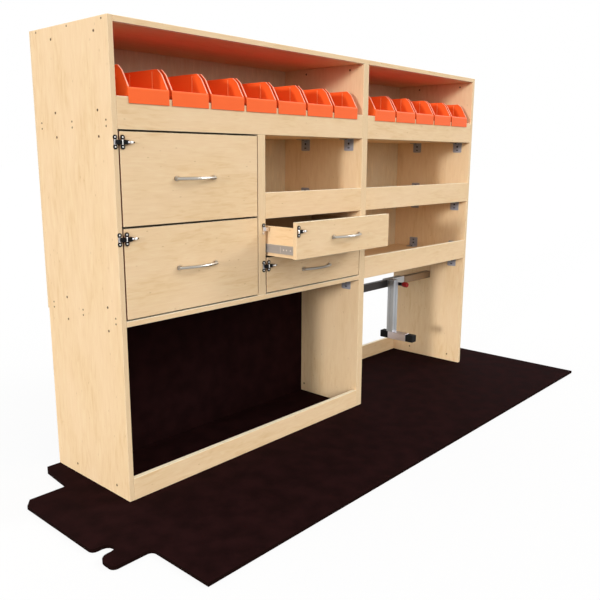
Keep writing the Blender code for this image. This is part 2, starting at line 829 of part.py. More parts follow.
def bin_mesh():
    """One picking bin with a rim flange and two ribs inside each side wall."""
    half = BIN_WIDTH / 2
    body_half = half - BIN_FLANGE
    inner_half = body_half - BIN_WALL
    body = across("bin_pattern", bin_side(), (-body_half, body_half), CUTTERS)
    rim = across("rim", bin_side(), (-half, half), CUTTERS)
    lower = across("lower", below_rim(), (-half - OVERRUN, half + OVERRUN), CUTTERS)
    combine(rim, lower, "DIFFERENCE")
    combine(body, rim, "UNION")
    hollow = across("hollow", bin_hollow(), (-inner_half, inner_half), CUTTERS)
    combine(body, hollow, "DIFFERENCE")
    for side in (-1, 1):
        for rib in (BIN_FRONT_RIB, BIN_REAR_RIB):
            wall = side * (inner_half + BIN_WALL / 2)
            x = sorted((wall, side * (inner_half - BIN_RIB_PROUD)))
            y = (rib, rib + BIN_RIB)
            z = (BIN_WALL / 2, BIN_HEIGHT - BIN_RIM)
            combine(body, box("rib", x, y, z, CUTTERS), "UNION")
    shape = bmesh.new()
    shape.from_mesh(body.data)
    shape.transform(body.matrix_world)
    mesh = bpy.data.meshes.new("picking_bin")
    shape.to_mesh(mesh)
    shape.free()
    bpy.data.objects.remove(body, do_unlink=True)
    return mesh


def bins():
    """Rows of bins hooked over the lips of the two bin shelves."""
    mesh = bin_mesh()
    mesh.materials.append(orange_plastic())
    whole_left = (LEFT_BAY[0], CENTRE_BAY[1])
    base = BIN_SHELF + DOUBLE_BOARD + SEAT_GAP
    for side, bay in (("left", whole_left), ("right", RIGHT_BAY)):
        middle = sum(bay) / 2
        count = int((bay[1] - bay[0]) / BIN_PITCH)
        for index in range(count):
            x = middle + (index - (count - 1) / 2) * BIN_PITCH
            place(f"bin_{side}_{index + 1}", mesh, (x, 0.0, base))


def grooved_section(width, depth):
    """Outline of an aluminium bar with a groove down the middle of each side."""
    half_w = width / 2
    half_d = depth / 2
    slot = POST_GROOVE / 2
    sunk = POST_GROOVE_DEPTH
    points = []
    for turn in range(4):
        near, far = (half_w, half_d) if turn % 2 == 0 else (half_d, half_w)
        side = [
            (near, -far),
            (near, -slot),
            (near - sunk, -slot),
            (near - sunk, slot),
            (near, slot),
        ]
        angle = turn * math.pi / 2
        for x, y in side:
            points.append(
                (x * math.cos(angle) - y * math.sin(angle), x * math.sin(angle) + y * math.cos(angle))
            )
    return points


def load_stop():
    """The rail, its hooked carriage, the hanging post, the foot and the knob."""
    rail_top = RAIL_BASE + RAIL_HEIGHT
    rail_back = RAIL_SETBACK + RAIL_DEPTH
    left = RIGHT_BAY[0] + PLATE_START
    post_back = RAIL_SETBACK - SEAT_GAP - PLATE
    rail = box(
        "stop_rail",
        (RIGHT_BAY[0] + SEAT_GAP, RIGHT_BAY[1] - SEAT_GAP),
        (RAIL_SETBACK, rail_back),
        (RAIL_BASE, rail_top),
    )
    dress(ease(rail, EDGE_EASING), grey_steel())
    hook = [
        (post_back, RAIL_BASE),
        (post_back + PLATE, RAIL_BASE),
        (post_back + PLATE, rail_top + SEAT_GAP),
        (rail_back + SEAT_GAP, rail_top + SEAT_GAP),
        (rail_back + SEAT_GAP, rail_top - HOOK_DROP),
        (rail_back + SEAT_GAP + PLATE, rail_top - HOOK_DROP),
        (rail_back + SEAT_GAP + PLATE, rail_top + SEAT_GAP + PLATE),
        (post_back, rail_top + SEAT_GAP + PLATE),
    ]
    dress(across("stop_carriage", hook, (left, left + PLATE_LENGTH)), aluminium())
    foot_top = FOOT_BASE + POST_DEPTH
    post_low = foot_top + SEAT_GAP
    post_high = rail_top + SEAT_GAP + PLATE
    centre = (
        left + POST_WIDTH / 2,
        post_back - SEAT_GAP - POST_DEPTH / 2,
        (post_low + post_high) / 2,
    )
    section = grooved_section(POST_WIDTH, POST_DEPTH)
    flat = (0.0, 0.0, 0.0)
    post = outline_solid("stop_post", section, post_high - post_low, flat, centre)
    dress(post, aluminium())
    foot_x = (left, left + POST_WIDTH)
    foot_z = (FOOT_BASE, foot_top)
    tube = (FOOT_FRONT + CAP_LENGTH_FRONT, FOOT_FRONT + FOOT_LENGTH - CAP_LENGTH_REAR)
    dress(ease(box("stop_foot", foot_x, tube, foot_z), EDGE_EASING), aluminium())
    front_cap = (FOOT_FRONT, tube[0] - SEAT_GAP)
    rear_cap = (tube[1] + SEAT_GAP, FOOT_FRONT + FOOT_LENGTH)
    for name, y in (("stop_cap_front", front_cap), ("stop_cap_rear", rear_cap)):
        dress(ease(box(name, foot_x, y, foot_z), CAP_EASING, 2), black_rubber())
    clamp_knob((left + KNOB_OFFSET, post_back - SEAT_GAP, RAIL_BASE + KNOB_RISE))


def clamp_knob(seat):
    """A turned clamping knob on a short stem, its axis pointing to the front."""
    stem_end = KNOB_STEM_LENGTH
    body_end = stem_end + KNOB_BODY_LENGTH
    head_end = body_end + KNOB_HEAD_LENGTH
    profile = [(0.0, head_end)]
    profile += [
        (KNOB_HEAD - KNOB_ROUND + x, head_end - KNOB_ROUND + z)
        for x, z in arc((0.0, 0.0), KNOB_ROUND, 90, 0, 4)
    ]
    profile += [
        (KNOB_HEAD, body_end),
        (KNOB_BODY_END, body_end),
        (KNOB_BODY, stem_end),
        (KNOB_STEM, stem_end),
        (KNOB_STEM, 0.0),
        (0.0, 0.0),
    ]
    mesh = bpy.data.meshes.new("clamp_knob")
    edges = [(index, index + 1) for index in range(len(profile) - 1)]
    mesh.from_pydata([(x, 0.0, z) for x, z in profile], edges, [])
    knob = place("clamp_knob", mesh, seat)
    screw = knob.modifiers.new("turned", "SCREW")
    screw.axis = "Z"
    screw.steps = KNOB_SIDES
    screw.render_steps = KNOB_SIDES
    screw.use_merge_vertices = True
    screw.merge_threshold = SEAT_GAP / 10
    screw.use_normal_calculate = False
    knob.rotation_euler = FACING
    bpy.context.view_layer.update()
    dress(smooth(bake(knob)), red_plastic())


def stand_on_origin():
    """Carry everything on one empty that centres the bounding box over the origin."""
    centre_x = (FLOOR_LEFT + FLOOR_RIGHT) / 2
    centre_y = (FLOOR_FRONT + FULL_DEPTH) / 2
    frame = empty("van_racking_frame", (-centre_x, -centre_y, FLOOR_BOARD))
    for thing in collection(CONTENTS).objects:
        if thing.parent is None and thing != frame:
            thing.parent = frame


def main():
    clear_scene()
    floor_boards()
    upright_panels()
    shelves()
    cross_boards()
    drawers()
    bins()
    load_stop()
    stand_on_origin()


main()
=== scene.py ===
"""Looks of the plywood van racking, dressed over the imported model."""

import math

import bmesh
import bpy
from mathutils import Matrix, Vector


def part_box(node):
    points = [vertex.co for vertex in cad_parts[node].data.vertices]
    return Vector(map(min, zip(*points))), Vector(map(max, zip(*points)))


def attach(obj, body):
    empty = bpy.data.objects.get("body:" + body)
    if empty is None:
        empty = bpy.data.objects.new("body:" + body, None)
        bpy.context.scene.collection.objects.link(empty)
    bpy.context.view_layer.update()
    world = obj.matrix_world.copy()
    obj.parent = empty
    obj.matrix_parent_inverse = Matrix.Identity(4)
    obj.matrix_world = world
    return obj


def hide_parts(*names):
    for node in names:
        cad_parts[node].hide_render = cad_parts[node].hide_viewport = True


bl_info = {
    "name": "Van racking looks",
    "version": (1, 0, 0),
    "blender": (4, 5, 0),
    "location": "View3D > Sidebar > Racking",
    "description": "Plywood, metal and plastic finishes and small fittings of a van rack",
    "category": "Object",
}

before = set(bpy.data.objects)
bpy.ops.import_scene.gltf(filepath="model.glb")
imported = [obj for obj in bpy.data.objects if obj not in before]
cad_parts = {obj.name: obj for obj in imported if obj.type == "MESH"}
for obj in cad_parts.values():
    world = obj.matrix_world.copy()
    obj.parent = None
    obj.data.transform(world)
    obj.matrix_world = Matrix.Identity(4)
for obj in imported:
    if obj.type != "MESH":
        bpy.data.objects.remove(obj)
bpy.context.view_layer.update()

MM = 0.001

# Main places of the rack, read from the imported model
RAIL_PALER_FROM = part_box("stop_carriage")[1].x - 30 * MM
FLOOR_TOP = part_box("floor_board_left")[1].z
RACK_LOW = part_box("end_panel_left")[0]
RACK_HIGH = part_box("end_panel_right")[1]
RACK_FRONT = RACK_LOW.y
DRAWERS = ("left_lower", "left_upper", "centre_lower", "centre_upper")
BINS = sorted(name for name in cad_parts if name.startswith("bin_") and "shelf" not in name)
BOARD = 18 * MM
PANEL_LEFT = RACK_LOW.x
PANEL_RIGHT = RACK_HIGH.x
MIDDLE_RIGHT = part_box("middle_panel")[1].x
BIN_FLANGE = 2 * MM
BIN_WALL = 2.5 * MM
BIN_MOUTH_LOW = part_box("bin_left_1")[0].z + 88 * MM
SLIDE_STEEL = 6.35 * MM
SLIDE_MIDDLE = 28.5 * MM
DIVIDER_MIDDLE = sum((corner.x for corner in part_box("drawer_divider")), 0.0) / 2
DECKS = {
    name: (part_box(name)[0].z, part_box(name)[0].z + 2 * BOARD)
    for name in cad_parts
    if "_shelf_" in name
}


def from_rack(x, y, z):
    """A point given from the rack's front left corner at the top of the floor boards."""
    return Vector((RACK_LOW.x + x, RACK_FRONT + y, FLOOR_TOP + z))


class RackingWood(bpy.types.PropertyGroup):
    """Colours and scales of the boards."""

    face: bpy.props.StringProperty(
        name="Face colour",
        description="Lacquered birch face, as sRGB hex",
        default="F1D0A3",
    )
    grain: bpy.props.StringProperty(
        name="Grain colour",
        description="Darker bands and flecks of the birch face, as sRGB hex",
        default="D9AE76",
    )
    edge_light: bpy.props.StringProperty(
        name="Edge, light plies",
        description="Long-grain plies on a cut edge, as sRGB hex",
        default="F6DBB3",
    )
    edge_dark: bpy.props.StringProperty(
        name="Edge, dark plies",
        description="End-grain plies and glue lines on a cut edge, as sRGB hex",
        default="E6C497",
    )
    film: bpy.props.StringProperty(
        name="Film colour",
        description="Phenolic film on the floor boards, as sRGB hex",
        default="251212",
    )
    ply_thickness: bpy.props.FloatProperty(
        name="Ply thickness",
        description="Thickness of one veneer layer",
        default=1.4 * MM,
        unit="LENGTH",
        subtype="DISTANCE",
    )
    grain_width: bpy.props.FloatProperty(
        name="Grain width",
        description="Width of one soft streak of the figure across the grain",
        default=13 * MM,
        unit="LENGTH",
        subtype="DISTANCE",
    )


class RackingFittings(bpy.types.PropertyGroup):
    """Colours and sizes of metal and plastic pieces."""

    orange: bpy.props.StringProperty(
        name="Bin colour",
        description="Polypropylene of the picking bins, as sRGB hex",
        default="FF6C2E",
    )
    red: bpy.props.StringProperty(
        name="Knob colour",
        description="Moulded head of the clamping knob, as sRGB hex",
        default="B02A2A",
    )
    bracket_leg: bpy.props.FloatProperty(
        name="Bracket height",
        description="Height of an angle bracket on the upright",
        default=50 * MM,
        unit="LENGTH",
        subtype="DISTANCE",
    )
    bracket_shelf_leg: bpy.props.FloatProperty(
        name="Bracket reach",
        description="Reach of an angle bracket along the shelf",
        default=40 * MM,
        unit="LENGTH",
        subtype="DISTANCE",
    )
    bracket_steel: bpy.props.FloatProperty(
        name="Bracket steel",
        description="Thickness of an angle bracket's strip",
        default=2.5 * MM,
        unit="LENGTH",
        subtype="DISTANCE",
    )
    bracket_width: bpy.props.FloatProperty(
        name="Bracket width",
        description="Width of an angle bracket from front to back",
        default=49 * MM,
        unit="LENGTH",
        subtype="DISTANCE",
    )
    screw_head: bpy.props.FloatProperty(
        name="Screw head",
        description="Diameter of a countersunk wood screw's head",
        default=9 * MM,
        unit="LENGTH",
        subtype="DISTANCE",
    )


class RackingStage(bpy.types.PropertyGroup):
    """Studio light and camera."""

    left_light: bpy.props.FloatProperty(
        name="Left light",
        description="Strength of the low lamp at the far left",
        default=1.29,
    )
    right_light: bpy.props.FloatProperty(
        name="Right light",
        description="Strength of the high soft lamp at the front right",
        default=0.92,
    )
    front_light: bpy.props.FloatProperty(
        name="Front light",
        description="Strength of the very wide lamp in front, which reaches into the bays",
        default=0.54,
    )
    sky_level: bpy.props.FloatProperty(
        name="Sky level",
        description="Strength of the even light from all round",
        default=1.04,
    )
    focal_length: bpy.props.FloatProperty(
        name="Focal length",
        description="Lens of the camera on a 36 mm sensor, in mm",
        default=41.37,
    )


def wood():
    return bpy.context.scene.racking_wood


def fittings():
    return bpy.context.scene.racking_fittings


def studio():
    return bpy.context.scene.racking_stage


# Materials


def linear(code):
    """Linear colour with alpha from an sRGB hex value."""
    channels = [int(code[i : i + 2], 16) / 255 for i in (0, 2, 4)]
    curve = [c / 12.92 if c <= 0.04045 else ((c + 0.055) / 1.055) ** 2.4 for c in channels]
    return (*curve, 1.0)


def add(tree, kind, sockets=None, **settings):
    """Add one node, set its properties, and fill or link its input sockets."""
    made = tree.nodes.new(kind)
    for name, value in settings.items():
        setattr(made, name, value)
    for name, value in (sockets or {}).items():
        if isinstance(value, bpy.types.NodeSocket):
            tree.links.new(value, made.inputs[name])
        else:
            made.inputs[name].default_value = value
    return made


def start(name, **sockets):
    """A new material with its Principled shader's sockets set."""
    material = bpy.data.materials.new(name)
    material.use_nodes = True
    shader = material.node_tree.nodes["Principled BSDF"]
    for socket, value in sockets.items():
        shader.inputs[socket.replace("_", " ")].default_value = value
    return material, material.node_tree, shader


def bumped(tree, shader, height, strength, distance):
    """Link a height to the shader as a bump."""
    bump = add(
        tree, "ShaderNodeBump", {"Height": height, "Strength": strength, "Distance": distance}
    )
    tree.links.new(bump.outputs["Normal"], shader.inputs["Normal"])


def ramp(tree, factor, stops):
    """A colour ramp with (position, linear colour) stops."""
    made = add(tree, "ShaderNodeValToRGB", {"Fac": factor})
    elements = made.color_ramp.elements
    while len(elements) < len(stops):
        elements.new(0.5)
    for element, (position, colour) in zip(elements, stops):
        element.position = position
        element.color = colour
    return made.outputs["Color"]


def maths(tree, operation, *values, clamp=False):
    """The result of a maths node on values or sockets."""
    made = add(tree, "ShaderNodeMath", dict(enumerate(values)), operation=operation, use_clamp=clamp)
    return made.outputs["Value"]


def along_grain(tree, grain, across, along):
    """Object coordinates stretched so that 1 unit is one pattern width across the grain."""
    place = add(tree, "ShaderNodeTexCoord").outputs["Object"]
    scale = [1 / across] * 3
    scale["XYZ".index(grain)] = 1 / along
    return add(tree, "ShaderNodeMapping", {"Vector": place, "Scale": scale}).outputs["Vector"]


def mixed(tree, factor, first, second, blend="MIX"):
    """Two colours mixed by a factor."""
    made = add(tree, "ShaderNodeMix", data_type="RGBA", blend_type=blend)
    for index, value in ((0, factor), (6, first), (7, second)):
        if isinstance(value, bpy.types.NodeSocket):
            tree.links.new(value, made.inputs[index])
        else:
            made.inputs[index].default_value = value
    return made.outputs[2]


def facing_parts(tree):
    """Place and absolute facing of the surface, each split into X, Y and Z."""
    place = add(tree, "ShaderNodeTexCoord").outputs["Object"]
    normal = add(tree, "ShaderNodeNewGeometry").outputs["True Normal"]
    places = add(tree, "ShaderNodeSeparateXYZ", {"Vector": place}).outputs
    facing = add(tree, "ShaderNodeSeparateXYZ", {"Vector": normal}).outputs
    facing = {axis: maths(tree, "ABSOLUTE", facing[axis]) for axis in "XYZ"}
    return places, facing


def spread(tree, value, low, high, to_low=0.0, to_high=1.0):
    """A value between two limits spread over another range, and held at its ends."""
    made = add(
        tree,
        "ShaderNodeMapRange",
        {"Value": value, "From Min": low, "From Max": high, "To Min": to_low, "To Max": to_high},
    )
    return made.outputs["Result"]


def arris_turn(tree, radius):
    """How far a rounded arris turns from its face, 1 being not at all, and its normal."""
    rounded = add(tree, "ShaderNodeBevel", {"Radius": radius}, samples=4).outputs["Normal"]
    true = add(tree, "ShaderNodeNewGeometry").outputs["True Normal"]
    turned = add(
        tree, "ShaderNodeVectorMath", {0: rounded, 1: true}, operation="DOT_PRODUCT"
    ).outputs["Value"]
    return turned, rounded


def openness(tree, reach, **more):
    """How free the surface is of other surfaces within a reach, from nought to one."""
    sockets = {"Distance": reach}
    sockets.update(more)
    return add(tree, "ShaderNodeAmbientOcclusion", sockets, samples=4).outputs["AO"]


def birch_plywood(name, thin, grain, face_code=None, painted_shade_tint=None):
    """Rotary-cut birch plywood, sanded and oiled: pale, calm and matt.

    A face has broad warm and cool areas, soft streaks and a few pin-size flecks along its
    grain; a cut edge shows the crossed veneers as thin lines. Arrises and the tops of front
    boards are painted paler as a painted highlight.
    """
    material, tree, shader = start(name, Roughness=0.6, IOR=1.5, Specular_IOR_Level=0.16)
    looks = wood()

    def noise(across, along, detail, **more):
        sockets = {"Vector": along_grain(tree, grain, across, along), "Scale": 1.0}
        sockets.update({"Detail": detail, "Roughness": 0.5}, **more)
        return add(tree, "ShaderNodeTexNoise", sockets).outputs["Fac"]

    # Streaks of late wood, some 13 mm by 90 mm
    streak = noise(looks.grain_width, looks.grain_width * 6, 2.0, Distortion=0.8)
    # Where streaks gather, in patches of 0.1 m by 0.26 m
    patch = noise(100 * MM, 260 * MM, 2.0)
    # Fibre lines, drawn 3 mm wide because the real 0.3 mm would not show
    fibre = noise(3 * MM, 60 * MM, 2.0)
    # Pith flecks, 1.5 mm by 5 mm
    fleck = add(
        tree,
        "ShaderNodeTexVoronoi",
        {"Vector": along_grain(tree, grain, 22 * MM, 66 * MM), "Scale": 1.0},
        feature="F1",
    ).outputs["Distance"]
    pale = linear(face_code or looks.face)
    paler = [channel * share for channel, share in zip(pale, (1.03, 1.04, 1.09, 1.0))]
    face = mixed(tree, spread(tree, patch, 0.35, 0.65), paler, pale)
    dark_streak = maths(
        tree, "MULTIPLY", spread(tree, streak, 0.5, 0.7), spread(tree, patch, 0.36, 0.6, 0.2)
    )
    face = mixed(tree, maths(tree, "MULTIPLY", dark_streak, 0.32), face, linear(looks.grain))
    face = mixed(tree, spread(tree, streak, 0.46, 0.3, 0.0, 0.35), face, linear("F9DFB6"))
    face = mixed(tree, spread(tree, fibre, 0.45, 0.7, 0.0, 0.08), face, linear("CFA06A"))
    face = mixed(tree, spread(tree, fleck, 0.05, 0.08, 0.4, 0.0), face, linear("B08350"))
    # Cut edges: the place across the board counts the veneers
    places, facing = facing_parts(tree)
    face_on = maths(tree, "GREATER_THAN", facing[thin[0]], 0.6)
    for other in thin[1:]:
        face_on = maths(tree, "MAXIMUM", face_on, maths(tree, "GREATER_THAN", facing[other], 0.6))
    across = places[thin[0]]
    light, dark = linear(looks.edge_light), linear(looks.edge_dark)
    if thin in ("ZY", "Y"):
        # Boards on edge at the front show veneers along their tops, painted paler as a painted
        # highlight of the light from above
        top_edge = maths(tree, "GREATER_THAN", facing["Z"], 0.6)
        if thin == "ZY":
            in_lip = maths(tree, "LESS_THAN", places["Y"], RACK_FRONT + BOARD)
            top_edge = maths(tree, "MULTIPLY", in_lip, top_edge)
            across = maths(tree, "ADD", across, maths(tree, "MULTIPLY", top_edge, places["Y"]))
        face_on = maths(tree, "SUBTRACT", face_on, top_edge, clamp=True)
        light = mixed(tree, top_edge, light, linear("FFF6DC"))
        dark = mixed(tree, top_edge, dark, linear("FEEAC6"))
    wave = maths(tree, "FRACT", maths(tree, "DIVIDE", across, 2 * looks.ply_thickness))
    layer = maths(tree, "GREATER_THAN", wave, 0.55)
    edge = mixed(tree, layer, light, dark)
    edge = mixed(tree, spread(tree, fibre, 0.4, 0.7, 0.0, 0.15), edge, linear("C79B66"))
    colour = mixed(tree, face_on, edge, face)
    # Arrises are painted paler, a painted highlight, drawn 2 mm wide so that they show
    turned, rounded = arris_turn(tree, 2.2 * MM)
    arris = spread(tree, turned, 0.97, 0.8, 0.0, 0.8)
    colour = mixed(tree, arris, colour, linear("FFEFD0"))
    rough = spread(tree, fibre, 0.3, 0.7, 0.52, 0.68)
    if name == "birch_plywood_front":
        # Drawer fronts stand in narrow gaps, where their faces are painted dark brown: painted shade
        clear = spread(tree, openness(tree, 12 * MM), 0.45, 0.8)
        colour = mixed(tree, clear, linear("6A2608"), colour)
        rough = maths(tree, "MAXIMUM", rough, maths(tree, "SUBTRACT", 1.0, clear))
        # Above and below a level gap, an arris rounded by 2 mm lies in its shade
        upward = add(tree, "ShaderNodeSeparateXYZ", {"Vector": rounded}).outputs["Z"]
        level = spread(tree, maths(tree, "ABSOLUTE", upward), 0.05, 0.3)
        beside = spread(tree, openness(tree, 12 * MM, Normal=rounded), 0.84, 0.96, 1.0, 0.0)
        shade = maths(tree, "MULTIPLY", level, beside)
        colour = mixed(tree, shade, colour, linear("2A1206"))
    # Drawer insides: the colour is multiplied darker, painted shade
    if painted_shade_tint:
        colour = mixed(tree, 1.0, colour, linear(painted_shade_tint), "MULTIPLY")
    tree.links.new(colour, shader.inputs["Base Color"])
    # Sanding leaves the fibres a little uneven in gloss and height
    tree.links.new(rough, shader.inputs["Roughness"])
    bumped(tree, shader, fibre, 0.08, 0.12 * MM)
    return material


def film_faced_plywood():
    """Birch ply with a pressed phenolic film: brown near black, matt, faintly mottled."""
    material, tree, shader = start(
        "film_faced_plywood", Roughness=0.8, IOR=1.5, Specular_IOR_Level=0.01
    )
    place = add(tree, "ShaderNodeTexCoord").outputs["Object"]
    # Resin lies thicker and thinner over areas of some 60 mm
    mottle = add(
        tree, "ShaderNodeTexNoise", {"Vector": place, "Scale": 16.0, "Detail": 5.0}
    ).outputs["Fac"]
    # The press leaves a fine even grip texture, drawn at 5 mm so that it shows
    press = add(
        tree, "ShaderNodeTexVoronoi", {"Vector": place, "Scale": 1 / (5 * MM)}, feature="F1"
    ).outputs["Distance"]
    colour = mixed(tree, spread(tree, mottle, 0.35, 0.65), linear("1C0D0D"), linear(wood().film))
    places, facing = facing_parts(tree)
    lies_flat = maths(tree, "GREATER_THAN", facing["Z"], 0.6)
    stands = maths(tree, "GREATER_THAN", places["Z"], FLOOR_TOP + 1 * MM)
    on_face = maths(tree, "MULTIPLY", maths(tree, "GREATER_THAN", facing["Y"], 0.6), stands)
    face_on = maths(tree, "MAXIMUM", lies_flat, on_face)
    # A cut edge is painted dark, with the veneers just telling
    wave = maths(tree, "FRACT", maths(tree, "DIVIDE", places["Z"], 2 * wood().ply_thickness))
    layer = maths(tree, "GREATER_THAN", wave, 0.5)
    edge = mixed(tree, layer, linear("22120F"), linear("170B0A"))
    tree.links.new(mixed(tree, face_on, edge, colour), shader.inputs["Base Color"])
    tree.links.new(spread(tree, mottle, 0.3, 0.7, 0.74, 0.86), shader.inputs["Roughness"])
    bumped(tree, shader, press, 0.12, 0.15 * MM)
    return material


def moulded_polypropylene(name, code, glow=0.06):
    """Injection-moulded polypropylene: strong even orange with a soft gloss.

    Rims, ribs and upper edges are painted paler as painted highlights, and a faint orange
    emission over all is a painted glow.
    """
    material, tree, shader = start(name, Roughness=0.38, IOR=1.49, Specular_IOR_Level=0.22)
    place = add(tree, "ShaderNodeTexCoord").outputs["Object"]
    # Pigment drifts faintly over some 50 mm as the melt flows
    drift = add(
        tree, "ShaderNodeTexNoise", {"Vector": place, "Scale": 20.0, "Detail": 3.0}
    ).outputs["Fac"]
    # Eroded mould surface, a fine grain of about 1.2 mm
    skin = add(
        tree, "ShaderNodeTexNoise", {"Vector": place, "Scale": 1 / (1.2 * MM), "Detail": 2.0}
    ).outputs["Fac"]
    thick = [channel * 0.96 for channel in linear(code)[:3]] + [1.0]
    colour = mixed(tree, spread(tree, drift, 0.3, 0.7), thick, linear(code))
    # Ribs and edges, rounded by 1.5 mm, are painted paler as a painted highlight, but not on the
    # underside
    turned, rounded = arris_turn(tree, 1.5 * MM)
    above = add(tree, "ShaderNodeSeparateXYZ", {"Vector": rounded}).outputs["Z"]
    edge = maths(
        tree, "MULTIPLY", spread(tree, turned, 0.985, 0.86), spread(tree, above, -0.3, 0.1)
    )
    colour = mixed(tree, maths(tree, "MULTIPLY", edge, 0.6), colour, linear("FF9068"))
    # The slanted rim of the mouth is painted almost white: a painted highlight
    true = add(tree, "ShaderNodeNewGeometry").outputs["True Normal"]
    slant = add(
        tree, "ShaderNodeVectorMath", {0: true, 1: (0.0, -0.8, 0.6)}, operation="DOT_PRODUCT"
    ).outputs["Value"]
    height = add(tree, "ShaderNodeSeparateXYZ", {"Vector": place}).outputs["Z"]
    rim = maths(
        tree,
        "MULTIPLY",
        spread(tree, slant, 0.9, 0.96, 0.0, 0.7),
        maths(tree, "GREATER_THAN", height, BIN_MOUTH_LOW),
    )
    colour = mixed(tree, rim, colour, linear("FFCBB4"))
    # Little light comes back from the narrow gaps between bins
    clear = spread(tree, openness(tree, 18 * MM), 0.4, 0.72)
    colour = mixed(tree, clear, linear("5A0E06"), colour)
    tree.links.new(colour, shader.inputs["Base Color"])
    # A faint orange emission over the whole bin: painted glow
    shader.inputs["Emission Color"].default_value = linear("FF4808")
    shader.inputs["Emission Strength"].default_value = glow
    tree.links.new(spread(tree, skin, 0.3, 0.7, 0.34, 0.44), shader.inputs["Roughness"])
    bumped(tree, shader, skin, 0.05, 0.1 * MM)
    return material


def satin_chrome():
    """Chrome plate over brushed zinc: bright, with its highlights softened."""
    material, tree, shader = start(
        "satin_chrome_plate", Base_Color=linear("B4AFA7"), Metallic=1.0, Roughness=0.3
    )
    place = along_grain(tree, "X", 0.6 * MM, 30 * MM)
    brush = add(
        tree, "ShaderNodeTexNoise", {"Vector": place, "Scale": 1.0, "Detail": 2.0}
    ).outputs["Fac"]
    rough = add(
        tree, "ShaderNodeMapRange", {"Value": brush, "To Min": 0.25, "To Max": 0.38}
    ).outputs["Result"]
    tree.links.new(rough, shader.inputs["Roughness"])
    bumped(tree, shader, brush, 0.05, 0.05 * MM)
    return material


def coated_metal(name, code, roughness, grit):
    """Powder coat over steel: dense colour with a slight orange peel."""
    material, tree, shader = start(
        name, Roughness=roughness, IOR=1.5, Specular_IOR_Level=0.15
    )
    place = add(tree, "ShaderNodeTexCoord").outputs["Object"]
    peel = add(
        tree, "ShaderNodeTexNoise", {"Vector": place, "Scale": 1 / grit, "Detail": 2.0}
    ).outputs["Fac"]
    dark = [c * 0.82 for c in linear(code)[:3]] + [1.0]
    colour = ramp(tree, peel, ((0.35, dark), (0.65, linear(code))))
    tree.links.new(colour, shader.inputs["Base Color"])
    bumped(tree, shader, peel, 0.12, 0.1 * MM)
    return material


def bare_metal(name, code, roughness, grain, metallic=1.0):
    """Rolled or drawn metal with fine lines along one way; a dull film makes it less metallic."""
    material, tree, shader = start(
        name, Base_Color=linear(code), Metallic=metallic, Roughness=roughness
    )
    place = along_grain(tree, grain, 0.8 * MM, 60 * MM)
    lines = add(
        tree, "ShaderNodeTexNoise", {"Vector": place, "Scale": 1.0, "Detail": 3.0}
    ).outputs["Fac"]
    rough = add(
        tree,
        "ShaderNodeMapRange",
        {"Value": lines, "To Min": roughness - 0.07, "To Max": roughness + 0.08},
    ).outputs["Result"]
    tree.links.new(rough, shader.inputs["Roughness"])
    bumped(tree, shader, lines, 0.06, 0.05 * MM)
    return material


def moulded_black(name, code, roughness):
    """Moulded rubber or nylon, black, with a fine matt grain."""
    material, tree, shader = start(
        name,
        Base_Color=linear(code),
        Roughness=roughness,
        IOR=1.52,
        Specular_IOR_Level=0.2,
    )
    place = add(tree, "ShaderNodeTexCoord").outputs["Object"]
    grain = add(
        tree, "ShaderNodeTexNoise", {"Vector": place, "Scale": 1 / (0.9 * MM), "Detail": 2.0}
    ).outputs["Fac"]
    rough = add(
        tree,
        "ShaderNodeMapRange",
        {"Value": grain, "To Min": roughness - 0.06, "To Max": roughness + 0.08},
    ).outputs["Result"]
    tree.links.new(rough, shader.inputs["Roughness"])
    bumped(tree, shader, grain, 0.1, 0.08 * MM)
    return material


def rail_metal():
    """Dark anodised rail: near black at the left, grey-brown at the right."""
    material, tree, shader = start("dark_anodised_rail", Metallic=1.0, Roughness=0.34)
    place = add(tree, "ShaderNodeTexCoord").outputs["Object"]
    along = add(tree, "ShaderNodeSeparateXYZ", {"Vector": place}).outputs["X"]
    paler_part = spread(tree, along, RAIL_PALER_FROM, RAIL_PALER_FROM + 60 * MM)
    lines = add(
        tree,
        "ShaderNodeTexNoise",
        {"Vector": along_grain(tree, "X", 1.2 * MM, 90 * MM), "Scale": 1.0, "Detail": 3.0},
    ).outputs["Fac"]
    face = mixed(tree, paler_part, linear("3E3937"), linear("928478"))
    # The arrises are drawn darker
    turned = arris_turn(tree, 2.5 * MM)[0]
    arris = mixed(tree, paler_part, linear("141010"), linear("3A2A1C"))
    colour = mixed(tree, spread(tree, turned, 0.985, 0.85, 0.0, 0.9), face, arris)
    tree.links.new(colour, shader.inputs["Base Color"])
    tree.links.new(spread(tree, lines, 0.3, 0.7, 0.28, 0.4), shader.inputs["Roughness"])
    bumped(tree, shader, lines, 0.06, 0.05 * MM)
    return material


MADE = {}


